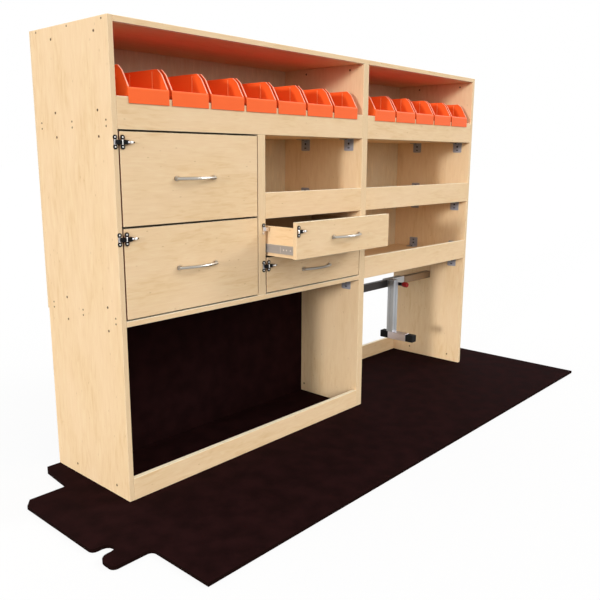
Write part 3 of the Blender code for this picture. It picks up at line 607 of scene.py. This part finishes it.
def finish(key):
    """The material of this key, made once."""
    makers = {
        "upright": lambda: birch_plywood("birch_plywood_upright", "X", "Z"),
        "shelf": lambda: birch_plywood("birch_plywood_shelf", "ZY", "X"),
        "front": lambda: birch_plywood("birch_plywood_front", "Y", "X"),
        "base": lambda: birch_plywood("birch_plywood_base_board", "Y", "X"),
        "sheet": lambda: birch_plywood("birch_plywood_sheet", "Y", "Z", "E0CBA6"),
        "tray": lambda: birch_plywood("birch_plywood_tray", "XY", "Y"),
        # The insides of the drawers take the tray's wood multiplied darker: painted shade
        "inside": lambda: birch_plywood(
            "birch_plywood_drawer_inside_painted_shade", "XYZ", "Y", painted_shade_tint="B2AAA2"
        ),
        "film": film_faced_plywood,
        "orange": lambda: moulded_polypropylene("moulded_polypropylene", fittings().orange),
        # Ribs: a paler orange with a stronger emission, a painted highlight and painted glow
        "rib": lambda: moulded_polypropylene("painted_highlight_polypropylene_rib", "FF9860", 0.2),
        "chrome": satin_chrome,
        "black": lambda: coated_metal("black_coated_steel", "050404", 0.55, 1.5 * MM),
        "rail": rail_metal,
        "zinc": lambda: bare_metal("zinc_plated_steel", "DDD9DA", 0.3, "Z"),
        "screw": lambda: bare_metal("bright_screw_steel", "F4F1EC", 0.2, "X"),
        "slide": lambda: bare_metal("rolled_slide_steel", "B2AEAC", 0.42, "Y", 0.45),
        "rivet": lambda: bare_metal("bright_rivet_steel", "E8E2DE", 0.3, "Y", 0.4),
        "bolt": lambda: coated_metal("blackened_screw", "2A2420", 0.4, 1 * MM),
        "brass": lambda: coated_metal("browned_screw", "7A5C3C", 0.4, 1 * MM),
        "bracket": lambda: coated_metal("grey_coated_bracket", "A9A9B2", 0.42, 2 * MM),
        "alloy": lambda: bare_metal("anodised_aluminium", "BCC0C4", 0.5, "Z"),
        "foot": lambda: bare_metal("brushed_aluminium_foot", "D6CFD4", 0.34, "Y"),
        "rubber": lambda: moulded_black("black_rubber", "0C0B0B", 0.62),
        "nylon": lambda: moulded_black("black_nylon", "141314", 0.4),
        "red": lambda: moulded_black("red_nylon", fittings().red, 0.36),
    }
    if key not in MADE:
        MADE[key] = makers[key]()
    return MADE[key]


def dress(piece, *keys):
    """Give an object its materials, in the order of its faces' material numbers."""
    slots = piece.data.materials
    for number, key in enumerate(keys):
        if number < len(slots):
            slots[number] = finish(key)
        else:
            slots.append(finish(key))
    return piece


def mark_faces(piece, test, number=1):
    """Give the faces whose middle passes a test the piece's second material, or another."""
    for face in piece.data.polygons:
        if test(face.center):
            face.material_index = number


# Meshes


def piece_from(shape, name, *keys):
    """An object made from a bmesh, with its materials."""
    mesh = bpy.data.meshes.new(name)
    shape.to_mesh(mesh)
    shape.free()
    piece = bpy.data.objects.new(name, mesh)
    bpy.context.scene.collection.objects.link(piece)
    return dress(piece, *keys)


def add_block(shape, low, high, bevel=0.0, material=0):
    """A block between two corners, with its edges rounded."""
    block = bmesh.new()
    bmesh.ops.create_cube(block, size=1.0)
    size = Vector(high) - Vector(low)
    bmesh.ops.scale(block, vec=size, verts=block.verts)
    bmesh.ops.translate(block, vec=(Vector(low) + Vector(high)) / 2, verts=block.verts)
    if bevel:
        bmesh.ops.bevel(
            block, geom=block.edges[:], offset=bevel, segments=2, profile=0.7, affect="EDGES"
        )
    merge(shape, block, material)


def merge(shape, other, material=0):
    """Add one bmesh to another, with one material index or its own where none is given."""
    if material is not None:
        for face in other.faces:
            face.material_index = material
    mesh = bpy.data.meshes.new("scratch")
    other.to_mesh(mesh)
    other.free()
    shape.from_mesh(mesh)
    bpy.data.meshes.remove(mesh)


TURN = {
    "X": Matrix.Rotation(math.radians(90), 4, "Y"),
    "Y": Matrix.Rotation(math.radians(-90), 4, "X"),
    "Z": Matrix.Identity(4),
}


def add_turned(shape, profile, place, axis, sides=24, material=0, flip=False):
    """A turned solid from (radius, height) points, standing on a place along an axis."""
    made = bmesh.new()
    rings = []
    for radius, height in profile:
        ring = []
        for index in range(sides):
            angle = 2 * math.pi * index / sides
            ring.append(
                made.verts.new((radius * math.cos(angle), radius * math.sin(angle), height))
            )
        rings.append(ring)
    for lower, upper in zip(rings, rings[1:]):
        for index in range(sides):
            after = (index + 1) % sides
            made.faces.new((lower[index], lower[after], upper[after], upper[index]))
    made.faces.new(reversed(rings[0]))
    made.faces.new(rings[-1])
    bmesh.ops.remove_doubles(made, verts=made.verts, dist=0.001 * MM)
    if flip:
        bmesh.ops.scale(made, vec=(1, 1, -1), verts=made.verts)
    bmesh.ops.transform(made, matrix=TURN[axis], verts=made.verts)
    bmesh.ops.translate(made, vec=Vector(place), verts=made.verts)
    bmesh.ops.recalc_face_normals(made, faces=made.faces)
    merge(shape, made, material)


def smooth(piece, angle=35):
    """Shade round, with edges past the angle kept sharp."""
    piece.data.shade_smooth()
    piece.data.set_sharp_from_angle(angle=math.radians(angle))
    return piece


def screw_profile(radius, rise):
    """A low domed head."""
    return ((radius, 0.0), (radius, rise * 0.45), (radius * 0.72, rise), (0.0, rise * 1.05))


def add_screw(shape, place, axis, outward, radius, rise, material=0):
    """A domed screw head on a face whose outward way is given, its cross recess drawn as a thin dark
    cross: painted shade.
    """
    flip = outward < 0
    add_turned(shape, screw_profile(radius, rise), place, axis, 16, material, flip)
    index = "XYZ".index(axis)
    others = [i for i in range(3) if i != index]
    # The recess is a thin dark cross standing on the head: painted shade
    for long in others:
        low, high = Vector(place), Vector(place)
        for i in others:
            half = radius * (0.62 if i == long else 0.13)
            low[i] -= half
            high[i] += half
        tip = place[index] + outward * rise
        low[index], high[index] = sorted((tip, tip + outward * 0.12 * MM))
        add_block(shape, low, high, 0.0, 1)


# Pieces of the rack


def dress_boards():
    """All plywood boards of the carcass and the drawers, and the film-faced boards."""
    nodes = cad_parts
    dress(nodes["end_panel_right"], "upright")
    proud = 0.2 * MM
    for name, low, high in (
        ("end_panel_left", PANEL_LEFT, PANEL_LEFT + BOARD),
        ("drawer_divider", DIVIDER_MIDDLE - BOARD, DIVIDER_MIDDLE + BOARD),
        ("middle_panel", MIDDLE_RIGHT - 2 * BOARD, MIDDLE_RIGHT),
    ):
        panel = dress(nodes[name], "upright", "slide")
        mark_faces(panel, lambda at: at.x < low - proud or at.x > high + proud)
    for name in DECKS:
        dress(nodes[name], "shelf")
    dress(nodes["top_panel"], "shelf")
    dress(nodes["back_sheet"], "sheet")
    for name in ("kick_board", "rear_floor_rail"):
        dress(nodes[name], "base")
    for drawer in DRAWERS:
        dress(nodes["drawer_front_" + drawer], "front")
        box = dress(nodes["drawer_box_" + drawer], "tray", "slide", "inside")
        low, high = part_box("drawer_box_" + drawer)
        side = SLIDE_STEEL - proud
        mark_faces(box, lambda at: at.x < low.x + side or at.x > high.x - side)
        # The walls are over 8 mm thick, so what lies further in is the inside
        inner, skin = side + 8 * MM, 3 * MM
        mark_faces(
            box,
            lambda at: low.x + inner < at.x < high.x - inner
            and low.y + skin < at.y < high.y - skin
            and low.z + skin < at.z < high.z - skin,
            2,
        )
    for name in ("wheel_arch_board", "floor_board_left", "floor_board_right"):
        dress(nodes[name], "film")


def build_slide_rivets():
    """Rivet heads and a stop tab near the front of each drawer's slide members."""
    for drawer in DRAWERS:
        low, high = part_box("drawer_box_" + drawer)
        z = low.z + SLIDE_MIDDLE
        shape = bmesh.new()
        for x, out in ((low.x, -1), (high.x, 1)):
            for back in (14 * MM, 33 * MM, 48 * MM):
                head = ((3 * MM, 0.0), (3 * MM, 0.06 * MM), (2.2 * MM, 0.12 * MM))
                add_turned(shape, head, (x, low.y + back, z), "X", 16, 0, out < 0)
            tab = sorted((x, x + out * 0.12 * MM))
            y = low.y + 63 * MM
            add_block(shape, (tab[0], y, z - 11 * MM), (tab[1], y + 2 * MM, z + 11 * MM))
        rivets = smooth(piece_from(shape, "slide_rivets_" + drawer, "rivet"))
        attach(rivets, "drawer_" + drawer)


def dress_bins():
    """Orange plastic on the picking bins, with the ribs inside their walls painted paler and glowing
    more: painted highlight.
    """
    for name in BINS:
        low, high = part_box(name)
        middle = (low.x + high.x) / 2
        wall = (high.x - low.x) / 2 - BIN_FLANGE - BIN_WALL
        picking_bin = dress(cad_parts[name], "orange", "rib")
        mark_faces(
            picking_bin,
            lambda at: 0.2 * MM < wall - abs(at.x - middle) < 2.2 * MM
            and at.z > low.z + 20 * MM,
        )


def dress_handles():
    """Satin chrome on the bow handles."""
    for drawer in DRAWERS:
        smooth(dress(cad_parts["handle_" + drawer], "chrome"))


def add_loft(shape, stations, high_y, depth, middle_z, half, material):
    """A rounded bar through (x, width share, depth share) stations."""
    bar = bmesh.new()
    rings = []
    sides = 16
    for x, width_share, depth_share in stations:
        reach = depth * depth_share / 2
        centre = high_y - reach - 0.2 * MM
        ring = []
        for index in range(sides):
            angle = 2 * math.pi * index / sides
            y = centre + reach * math.sin(angle)
            z = middle_z + half * width_share * math.cos(angle)
            ring.append(bar.verts.new((x, y, z)))
        rings.append(ring)
    for first, second in zip(rings, rings[1:]):
        for index in range(sides):
            after = (index + 1) % sides
            bar.faces.new((first[index], first[after], second[after], second[index]))
    bar.faces.new(rings[0])
    bar.faces.new(reversed(rings[-1]))
    bmesh.ops.recalc_face_normals(bar, faces=bar.faces)
    merge(shape, bar, material)


def build_lever(drawer):
    """A latch lever: bright hinge barrel, black forked hub, and a bright finger."""
    low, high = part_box("latch_lever_" + drawer)
    middle = (low.z + high.z) / 2
    half = (high.z - low.z) / 2
    depth = high.y - low.y
    barrel_end = low.x + 7.5 * MM
    hub_end = low.x + 22 * MM
    shape = bmesh.new()
    barrel = ((2.2 * MM, 0.0), (2.4 * MM, 0.4 * MM), (2.4 * MM, 2 * half - 0.4 * MM))
    pivot = (low.x + 4 * MM, low.y + 2.5 * MM, low.z)
    add_turned(shape, (*barrel, (2.2 * MM, 2 * half)), pivot, "Z", 20, 1)
    back = (low.x + 1 * MM, high.y - 2 * MM, low.z + 0.5 * MM)
    add_block(shape, back, (barrel_end + 1 * MM, high.y, high.z - 0.5 * MM), 0.5 * MM, 1)
    add_block(shape, (barrel_end, low.y, low.z), (hub_end, high.y, high.z), 1.2 * MM, 0)
    # Two prongs of the hub hold the finger between them
    for near, far in ((low.z + 0.6 * MM, middle - 3 * MM), (middle + 3 * MM, high.z - 0.6 * MM)):
        start_at = (hub_end - 1 * MM, low.y + 0.6 * MM, near)
        add_block(shape, start_at, (hub_end + 3.5 * MM, high.y - 0.4 * MM, far), 0.6 * MM, 0)
    neck = (
        (hub_end - 1.5 * MM, 0.46, 0.72),
        (hub_end + 4.5 * MM, 0.54, 0.76),
        (hub_end + 6.5 * MM, 0.38, 0.66),
    )
    add_loft(shape, neck, high.y, depth, middle, half, 2)
    collar = ((hub_end + 6 * MM, 0.34, 0.62), (hub_end + 9 * MM, 0.44, 0.70))
    add_loft(shape, collar, high.y, depth, middle, half, 0)
    ball = (
        (hub_end + 8.5 * MM, 0.46, 0.70),
        (hub_end + 10.5 * MM, 0.66, 0.90),
        (hub_end + 13.5 * MM, 0.74, 0.98),
        (hub_end + 16.5 * MM, 0.60, 0.90),
        (high.x - 7 * MM, 0.44, 0.78),
    )
    add_loft(shape, ball, high.y, depth, middle, half, 1)
    tip = (
        (high.x - 7.5 * MM, 0.46, 0.80),
        (high.x - 4 * MM, 0.36, 0.66),
        (high.x - 0.4 * MM, 0.14, 0.40),
    )
    add_loft(shape, tip, high.y, depth, middle, half, 0)
    lever = smooth(piece_from(shape, "lever_" + drawer, "black", "screw", "zinc"))
    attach(lever, "lever_" + drawer)
    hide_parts("latch_lever_" + drawer)


def build_latches():
    """Latch plates with black ears and bright webs, their levers, and the ears' screws."""
    for drawer in DRAWERS:
        for half, body in (("latch_keeper_", "rack"), ("latch_base_", "drawer_" + drawer)):
            node = half + drawer
            low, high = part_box(node)
            x = low.x + (high.z - low.z) * 0.17
            middle = (low.z + high.z) / 2
            face = high.y - 2.6 * MM
            plate = dress(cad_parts[node], "black", "zinc")
            if node == "latch_keeper_centre_upper":
                # This catch is plated where the others are black
                mark_faces(plate, lambda at: at.x > low.x + 10 * MM or at.z < middle)
            shape = bmesh.new()
            for z in (low.z + 7.2 * MM, high.z - 7.2 * MM):
                add_screw(shape, (x, face, z), "Y", -1, 3.1 * MM, 1.2 * MM)
            web = (low.x + 2 * MM, face - 0.3 * MM, middle - 7.4 * MM)
            add_block(shape, web, (low.x + 9.8 * MM, face, middle + 7.4 * MM), 0.1 * MM, 2)
            screws = smooth(piece_from(shape, half + "screws_" + drawer, "screw", "bolt", "zinc"))
            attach(screws, body)
        build_lever(drawer)


def bracket_corners():
    """Corners that hold a bracket: upright face, its open side, shelf level, up or down."""
    left_inner = PANEL_LEFT + BOARD
    middle_left = MIDDLE_RIGHT - 2 * BOARD
    right_inner = PANEL_RIGHT - BOARD
    divider_right = DIVIDER_MIDDLE + BOARD
    bays = (
        (left_inner, 1, (("lower_shelf_left", -1),)),
        (divider_right, 1, (("bin_shelf_left", -1), ("middle_shelf_centre", 1))),
        (
            middle_left,
            -1,
            (("bin_shelf_left", -1), ("middle_shelf_centre", 1), ("lower_shelf_left", -1)),
        ),
    )
    right_shelves = (
        ("bin_shelf_right", -1),
        ("middle_shelf_right", 1),
        ("middle_shelf_right", -1),
        ("lower_shelf_right", 1),
        ("lower_shelf_right", -1),
    )
    bays += ((MIDDLE_RIGHT, 1, right_shelves), (right_inner, -1, right_shelves))
    return [
        (x, side, DECKS[shelf][1 if way > 0 else 0], way)
        for x, side, shelves in bays
        for shelf, way in shelves
    ]


BRACKET_SETBACKS = (46 * MM, 292 * MM)
BRACKET_SCREW = 17.5 * MM


def bracket_outline(looks):
    """Section of a bent strip, from the corner along the upright and along the shelf."""
    steel, bend = looks.bracket_steel, looks.bracket_steel * 2
    rise, reach = looks.bracket_leg, looks.bracket_shelf_leg
    outline = [(0.0, 0.0), (reach, 0.0), (reach, steel), (steel + bend, steel)]
    for step in range(1, 5):
        angle = math.radians(90 * step / 5)
        outline.append(
            (
                steel + bend - bend * math.sin(angle),
                steel + bend - bend * math.cos(angle),
            )
        )
    return outline + [(steel, steel + bend), (steel, rise), (0.0, rise)]


def add_bracket(shape, x, side, front, z, way):
    """A bent steel bracket with a pressed rib, a slot in each leg drawn as a thin dark patch
    (painted shade), and two screws.
    """
    looks = fittings()
    steel, width = looks.bracket_steel, looks.bracket_width
    made = bmesh.new()
    ring = [made.verts.new((u, 0.0, v)) for u, v in bracket_outline(looks)]
    face = made.faces.new(ring)
    pulled = bmesh.ops.extrude_face_region(made, geom=[face])
    moved = [item for item in pulled["geom"] if isinstance(item, bmesh.types.BMVert)]
    bmesh.ops.translate(made, vec=(0, width, 0), verts=moved)
    corners = [
        edge
        for edge in made.edges
        if all(
            vert.co.x > looks.bracket_shelf_leg - 0.1 * MM
            or vert.co.z > looks.bracket_leg - 0.1 * MM
            for vert in edge.verts
        )
        and abs(edge.verts[0].co.y - edge.verts[1].co.y) < 0.1 * MM
    ]
    bmesh.ops.bevel(made, geom=corners, offset=5 * MM, segments=3, profile=0.5, affect="EDGES")
    sharp = [edge for edge in made.edges if edge.calc_face_angle(0) > math.radians(60)]
    bmesh.ops.bevel(made, geom=sharp, offset=0.5 * MM, segments=1, profile=0.5, affect="EDGES")
    middle = width / 2
    # The rib stiffens the bend
    rib = 13 * MM
    add_block(
        made, (steel * 0.5, middle - 4 * MM, steel * 0.5), (rib, middle + 4 * MM, rib), 3.4 * MM
    )
    # Each slot is a thin dark block on the leg's face: painted shade in place of a hole
    for u, v in ((steel, looks.bracket_leg * 0.76), (looks.bracket_shelf_leg * 0.76, steel)):
        on_upright = u == steel
        half = 5.5 * MM
        low = [u, middle - half, v - 2.4 * MM] if on_upright else [u - 2.4 * MM, middle - half, v]
        high = [u, middle + half, v + 2.4 * MM] if on_upright else [u + 2.4 * MM, middle + half, v]
        axis = 0 if on_upright else 2
        low[axis] -= 0.1 * MM
        high[axis] += 0.08 * MM
        add_block(made, low, high, 0.0, 1)
    add_screw(made, (steel, middle, BRACKET_SCREW + steel), "X", 1, 4.6 * MM, 2 * MM, 1)
    add_screw(made, (BRACKET_SCREW + steel, middle, steel), "Z", 1, 4.6 * MM, 2 * MM, 1)
    bmesh.ops.scale(made, vec=(side, 1, way), verts=made.verts)
    if side * way < 0:
        bmesh.ops.reverse_faces(made, faces=made.faces)
    bmesh.ops.translate(made, vec=(x, RACK_FRONT + front, z), verts=made.verts)
    merge(shape, made, None)


def build_brackets():
    """Angle brackets in the corners of the open bays, two to a corner."""
    shape = bmesh.new()
    for x, side, z, way in bracket_corners():
        for front in BRACKET_SETBACKS:
            add_bracket(shape, x, side, front, z, way)
    brackets = smooth(piece_from(shape, "angle_brackets", "bracket", "bolt"))
    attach(brackets, "rack")


BOLT_ROWS = (73 * MM, 316.5 * MM)
SCREW_ROWS = (31 * MM, 220 * MM, 407 * MM)


def board_screws(shelves):
    """Heights of the screws into the ends of the top and of each doubled shelf."""
    heights = [RACK_HIGH.z - BOARD / 2]
    for shelf in shelves:
        heights += [DECKS[shelf][0] + BOARD / 2, DECKS[shelf][1] - BOARD / 2]
    return heights


def corner_bolts(shelves):
    """Heights of the bolts a bracket's screw distance above and below each board."""
    reach = BRACKET_SCREW + fittings().bracket_steel
    heights = [RACK_HIGH.z - BOARD - reach, FLOOR_TOP + 36 * MM]
    for shelf in shelves:
        heights += [DECKS[shelf][0] - reach, DECKS[shelf][1] + reach]
    return heights


def build_panel_screws():
    """Countersunk screws and bolt ends in the end panels and at the bays' bare corners."""
    left = ("bin_shelf_left", "lower_shelf_left")
    right = ("bin_shelf_right", "middle_shelf_right", "lower_shelf_right")
    shape = bmesh.new()
    for x, side, shelves in ((PANEL_LEFT, -1, left), (PANEL_RIGHT, 1, right)):
        for z in board_screws(shelves):
            for y in SCREW_ROWS:
                add_screw(shape, (x, RACK_FRONT + y, z), "X", side, 3.2 * MM, 0.3 * MM, 0)
        for z in corner_bolts(shelves):
            for y in BOLT_ROWS:
                add_screw(shape, (x, RACK_FRONT + y, z), "X", side, 4.2 * MM, 0.5 * MM, 0)
    bare = (
        (PANEL_LEFT + BOARD, 1),
        (MIDDLE_RIGHT - 2 * BOARD, -1),
        (MIDDLE_RIGHT, 1),
        (PANEL_RIGHT - BOARD, -1),
    )
    for x, side in bare:
        for z in corner_bolts(())[:2]:
            for y in BOLT_ROWS:
                add_screw(shape, (x, RACK_FRONT + y, z), "X", side, 4.2 * MM, 0.5 * MM, 0)
    screws = smooth(piece_from(shape, "panel_screws", "brass", "bolt"))
    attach(screws, "rack")


def build_knob():
    """The clamping knob: black stem and body, and a lobed red head with a sunk end."""
    low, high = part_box("clamp_knob")
    middle_x, middle_z = (low.x + high.x) / 2, (low.z + high.z) / 2
    radius = (high.x - low.x) / 2
    length = high.y - low.y
    shape = bmesh.new()
    body = (
        (0.30, 0.0),
        (0.30, 0.16),
        (0.52, 0.17),
        (0.60, 0.24),
        (0.60, 0.40),
        (0.52, 0.46),
        (0.66, 0.50),
        (0.80, 0.64),
    )
    profile = [(share * radius, along * length) for share, along in body]
    add_turned(shape, profile, (middle_x, high.y, middle_z), "Y", 32, 0, True)
    head = bmesh.new()
    rings = []
    sides = 48
    sections = (
        (0.78, 0.60, 0.0),
        (0.90, 0.63, 0.05),
        (0.95, 0.70, 0.09),
        (0.95, 0.90, 0.09),
        (0.88, 0.96, 0.07),
        (0.72, 0.99, 0.03),
        (0.56, 0.985, 0.0),
        (0.50, 0.95, 0.0),
        (0.0, 0.945, 0.0),
    )
    for share, along, lobe in sections:
        ring = []
        for index in range(sides):
            angle = 2 * math.pi * index / sides
            reach = radius * share * (1 - lobe * (0.5 + 0.5 * math.cos(6 * angle)))
            ring.append(
                head.verts.new(
                    (
                        middle_x + reach * math.cos(angle),
                        high.y - length * along,
                        middle_z + reach * math.sin(angle),
                    )
                )
            )
        rings.append(ring)
    for first, second in zip(rings, rings[1:]):
        for index in range(sides):
            after = (index + 1) % sides
            head.faces.new((first[index], first[after], second[after], second[index]))
    head.faces.new(rings[0])
    bmesh.ops.remove_doubles(head, verts=head.verts, dist=0.001 * MM)
    bmesh.ops.recalc_face_normals(head, faces=head.faces)
    merge(shape, head, 1)
    knob = smooth(piece_from(shape, "star_knob", "nylon", "red"))
    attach(knob, "knob")
    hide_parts("clamp_knob")


def dress_load_stop():
    """Finishes of the rail, the carriage, the post, the foot and its caps."""
    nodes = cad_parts
    dress(nodes["stop_rail"], "rail")
    for name, key in (("stop_carriage", "alloy"), ("stop_post", "alloy"), ("stop_foot", "foot")):
        dress(nodes[name], key)
    for name in ("stop_cap_front", "stop_cap_rear"):
        smooth(dress(nodes[name], "rubber"))
    build_knob()


# Stage


def seen_directly(tree):
    """One for camera, glossy and transmission rays, nought for the rest."""
    rays = add(tree, "ShaderNodeLightPath").outputs
    shown = maths(tree, "MAXIMUM", rays["Is Camera Ray"], rays["Is Glossy Ray"])
    return maths(tree, "MAXIMUM", shown, rays["Is Transmission Ray"])


def pale_studio_floor():
    """Painted studio floor: white to the eye, with the soft shadow still on it."""
    material, tree, shader = start(
        "pale_studio_floor", Base_Color=linear("585858"), Roughness=1.0, Specular_IOR_Level=0.0
    )
    shown = seen_directly(tree)
    shader.inputs["Emission Color"].default_value = (1, 1, 1, 1)
    glow = maths(tree, "MULTIPLY", shown, 0.88)
    tree.links.new(glow, shader.inputs["Emission Strength"])
    return material


def build_stage():
    """A wide pale floor."""
    shape = bmesh.new()
    bmesh.ops.create_grid(shape, x_segments=1, y_segments=1, size=60.0)
    mesh = bpy.data.meshes.new("studio_floor")
    shape.to_mesh(mesh)
    shape.free()
    floor = bpy.data.objects.new("studio_floor", mesh)
    bpy.context.scene.collection.objects.link(floor)
    mesh.materials.append(pale_studio_floor())


def build_world():
    """Even white surroundings; seen directly and in reflections they are pure white."""
    world = bpy.data.worlds.new("studio")
    bpy.context.scene.world = world
    world.use_nodes = True
    tree = world.node_tree
    tree.nodes.clear()
    level = spread(tree, seen_directly(tree), 0.0, 1.0, studio().sky_level, 1.0)
    sky = add(tree, "ShaderNodeBackground", {"Color": (1, 1, 1, 1), "Strength": level})
    add(tree, "ShaderNodeOutputWorld", {"Surface": sky.outputs["Background"]})


def add_far_lamp(name, toward, strength, width):
    """A lamp far off in the direction given, with its apparent width in degrees."""
    light = bpy.data.lights.new(name, "SUN")
    light.energy = strength
    light.angle = math.radians(width)
    lamp = bpy.data.objects.new(name, light)
    bpy.context.scene.collection.objects.link(lamp)
    lamp.rotation_euler = (-Vector(toward)).to_track_quat("-Z", "Y").to_euler()


LEFT_LAMP_WAY = (-1.0, -0.19, 0.1)
RIGHT_LAMP_WAY = (1.7, -1.0, 1.0)
FRONT_LAMP_WAY = (-0.7, -0.9, 0.3)


def build_lamps():
    """A low lamp at the left, a soft one high at the right, and a very wide one in front."""
    add_far_lamp("left_lamp", LEFT_LAMP_WAY, studio().left_light, 5.0)
    add_far_lamp("right_lamp", RIGHT_LAMP_WAY, studio().right_light, 14.0)
    add_far_lamp("front_lamp", FRONT_LAMP_WAY, studio().front_light, 50.0)


CAMERA_YAW = 0.84024
CAMERA_PITCH = 0.20463
CAMERA_ROLL = -0.00581
CAMERA_PLACE = (-1.17285, -1.788735, 1.10625)


def build_camera():
    """The camera at the photograph's place and angle."""
    sin_yaw, cos_yaw = math.sin(CAMERA_YAW), math.cos(CAMERA_YAW)
    sin_pitch, cos_pitch = math.sin(CAMERA_PITCH), math.cos(CAMERA_PITCH)
    forward = Vector((sin_yaw * cos_pitch, cos_yaw * cos_pitch, -sin_pitch))
    right = Vector((cos_yaw, -sin_yaw, 0.0))
    down = forward.cross(right)
    sin_roll, cos_roll = math.sin(CAMERA_ROLL), math.cos(CAMERA_ROLL)
    rolled_right = cos_roll * right + sin_roll * down
    rolled_down = cos_roll * down - sin_roll * right
    data = bpy.data.cameras.new("camera")
    data.sensor_width = 36.0
    data.lens = studio().focal_length
    data.clip_start = 0.05
    data.clip_end = 100.0
    camera = bpy.data.objects.new("camera", data)
    bpy.context.scene.collection.objects.link(camera)
    columns = Matrix((rolled_right, -rolled_down, -forward)).transposed()
    camera.matrix_world = Matrix.Translation(from_rack(*CAMERA_PLACE)) @ columns.to_4x4()
    bpy.context.scene.camera = camera


class RACKING_OT_boards(bpy.types.Operator):
    """Finish the plywood and film-faced boards, and the drawer slides on them"""

    bl_idname = "racking.boards"
    bl_label = "Boards"

    def execute(self, context):
        dress_boards()
        build_slide_rivets()
        return {"FINISHED"}


class RACKING_OT_bins(bpy.types.Operator):
    """Finish the picking bins"""

    bl_idname = "racking.bins"
    bl_label = "Bins"

    def execute(self, context):
        dress_bins()
        return {"FINISHED"}


class RACKING_OT_handles(bpy.types.Operator):
    """Finish the bow handles"""

    bl_idname = "racking.handles"
    bl_label = "Handles"

    def execute(self, context):
        dress_handles()
        return {"FINISHED"}


class RACKING_OT_latches(bpy.types.Operator):
    """Finish the latches and add their levers and screws"""

    bl_idname = "racking.latches"
    bl_label = "Latches"

    def execute(self, context):
        build_latches()
        return {"FINISHED"}


class RACKING_OT_load_stop(bpy.types.Operator):
    """Finish the sliding load stop"""

    bl_idname = "racking.load_stop"
    bl_label = "Load stop"

    def execute(self, context):
        dress_load_stop()
        return {"FINISHED"}


class RACKING_OT_brackets(bpy.types.Operator):
    """Add the angle brackets"""

    bl_idname = "racking.brackets"
    bl_label = "Brackets"

    def execute(self, context):
        build_brackets()
        return {"FINISHED"}


class RACKING_OT_screws(bpy.types.Operator):
    """Add the screws of the end panels"""

    bl_idname = "racking.screws"
    bl_label = "Screws"

    def execute(self, context):
        build_panel_screws()
        return {"FINISHED"}


class RACKING_OT_stage(bpy.types.Operator):
    """Add the floor, the surroundings, the lamps and the camera"""

    bl_idname = "racking.stage"
    bl_label = "Stage"

    def execute(self, context):
        context.scene.view_settings.view_transform = "Standard"
        build_stage()
        build_world()
        build_lamps()
        build_camera()
        return {"FINISHED"}


OPERATORS = (
    RACKING_OT_boards,
    RACKING_OT_bins,
    RACKING_OT_handles,
    RACKING_OT_latches,
    RACKING_OT_load_stop,
    RACKING_OT_brackets,
    RACKING_OT_screws,
    RACKING_OT_stage,
)


class RACKING_PT_panel(bpy.types.Panel):
    """Finishes and fittings of the rack"""

    bl_idname = "RACKING_PT_panel"
    bl_label = "Van racking"
    bl_space_type = "VIEW_3D"
    bl_region_type = "UI"
    bl_category = "Racking"

    def draw(self, context):
        for operator in OPERATORS:
            self.layout.operator(operator.bl_idname)


GROUPS = (
    ("racking_wood", RackingWood),
    ("racking_fittings", RackingFittings),
    ("racking_stage", RackingStage),
)


def register():
    """Register the groups, the operators and the panel."""
    for name, group in GROUPS:
        bpy.utils.register_class(group)
        setattr(bpy.types.Scene, name, bpy.props.PointerProperty(type=group))
    for operator in OPERATORS:
        bpy.utils.register_class(operator)
    bpy.utils.register_class(RACKING_PT_panel)


def unregister():
    """Undo what register does."""
    bpy.utils.unregister_class(RACKING_PT_panel)
    for operator in reversed(OPERATORS):
        bpy.utils.unregister_class(operator)
    for name, group in reversed(GROUPS):
        delattr(bpy.types.Scene, name)
        bpy.utils.unregister_class(group)


def main():
    """Register, and build every piece in order."""
    register()
    bpy.ops.racking.boards()
    bpy.ops.racking.bins()
    bpy.ops.racking.handles()
    bpy.ops.racking.latches()
    bpy.ops.racking.load_stop()
    bpy.ops.racking.brackets()
    bpy.ops.racking.screws()
    bpy.ops.racking.stage()


if __name__ == "__main__":
    main()
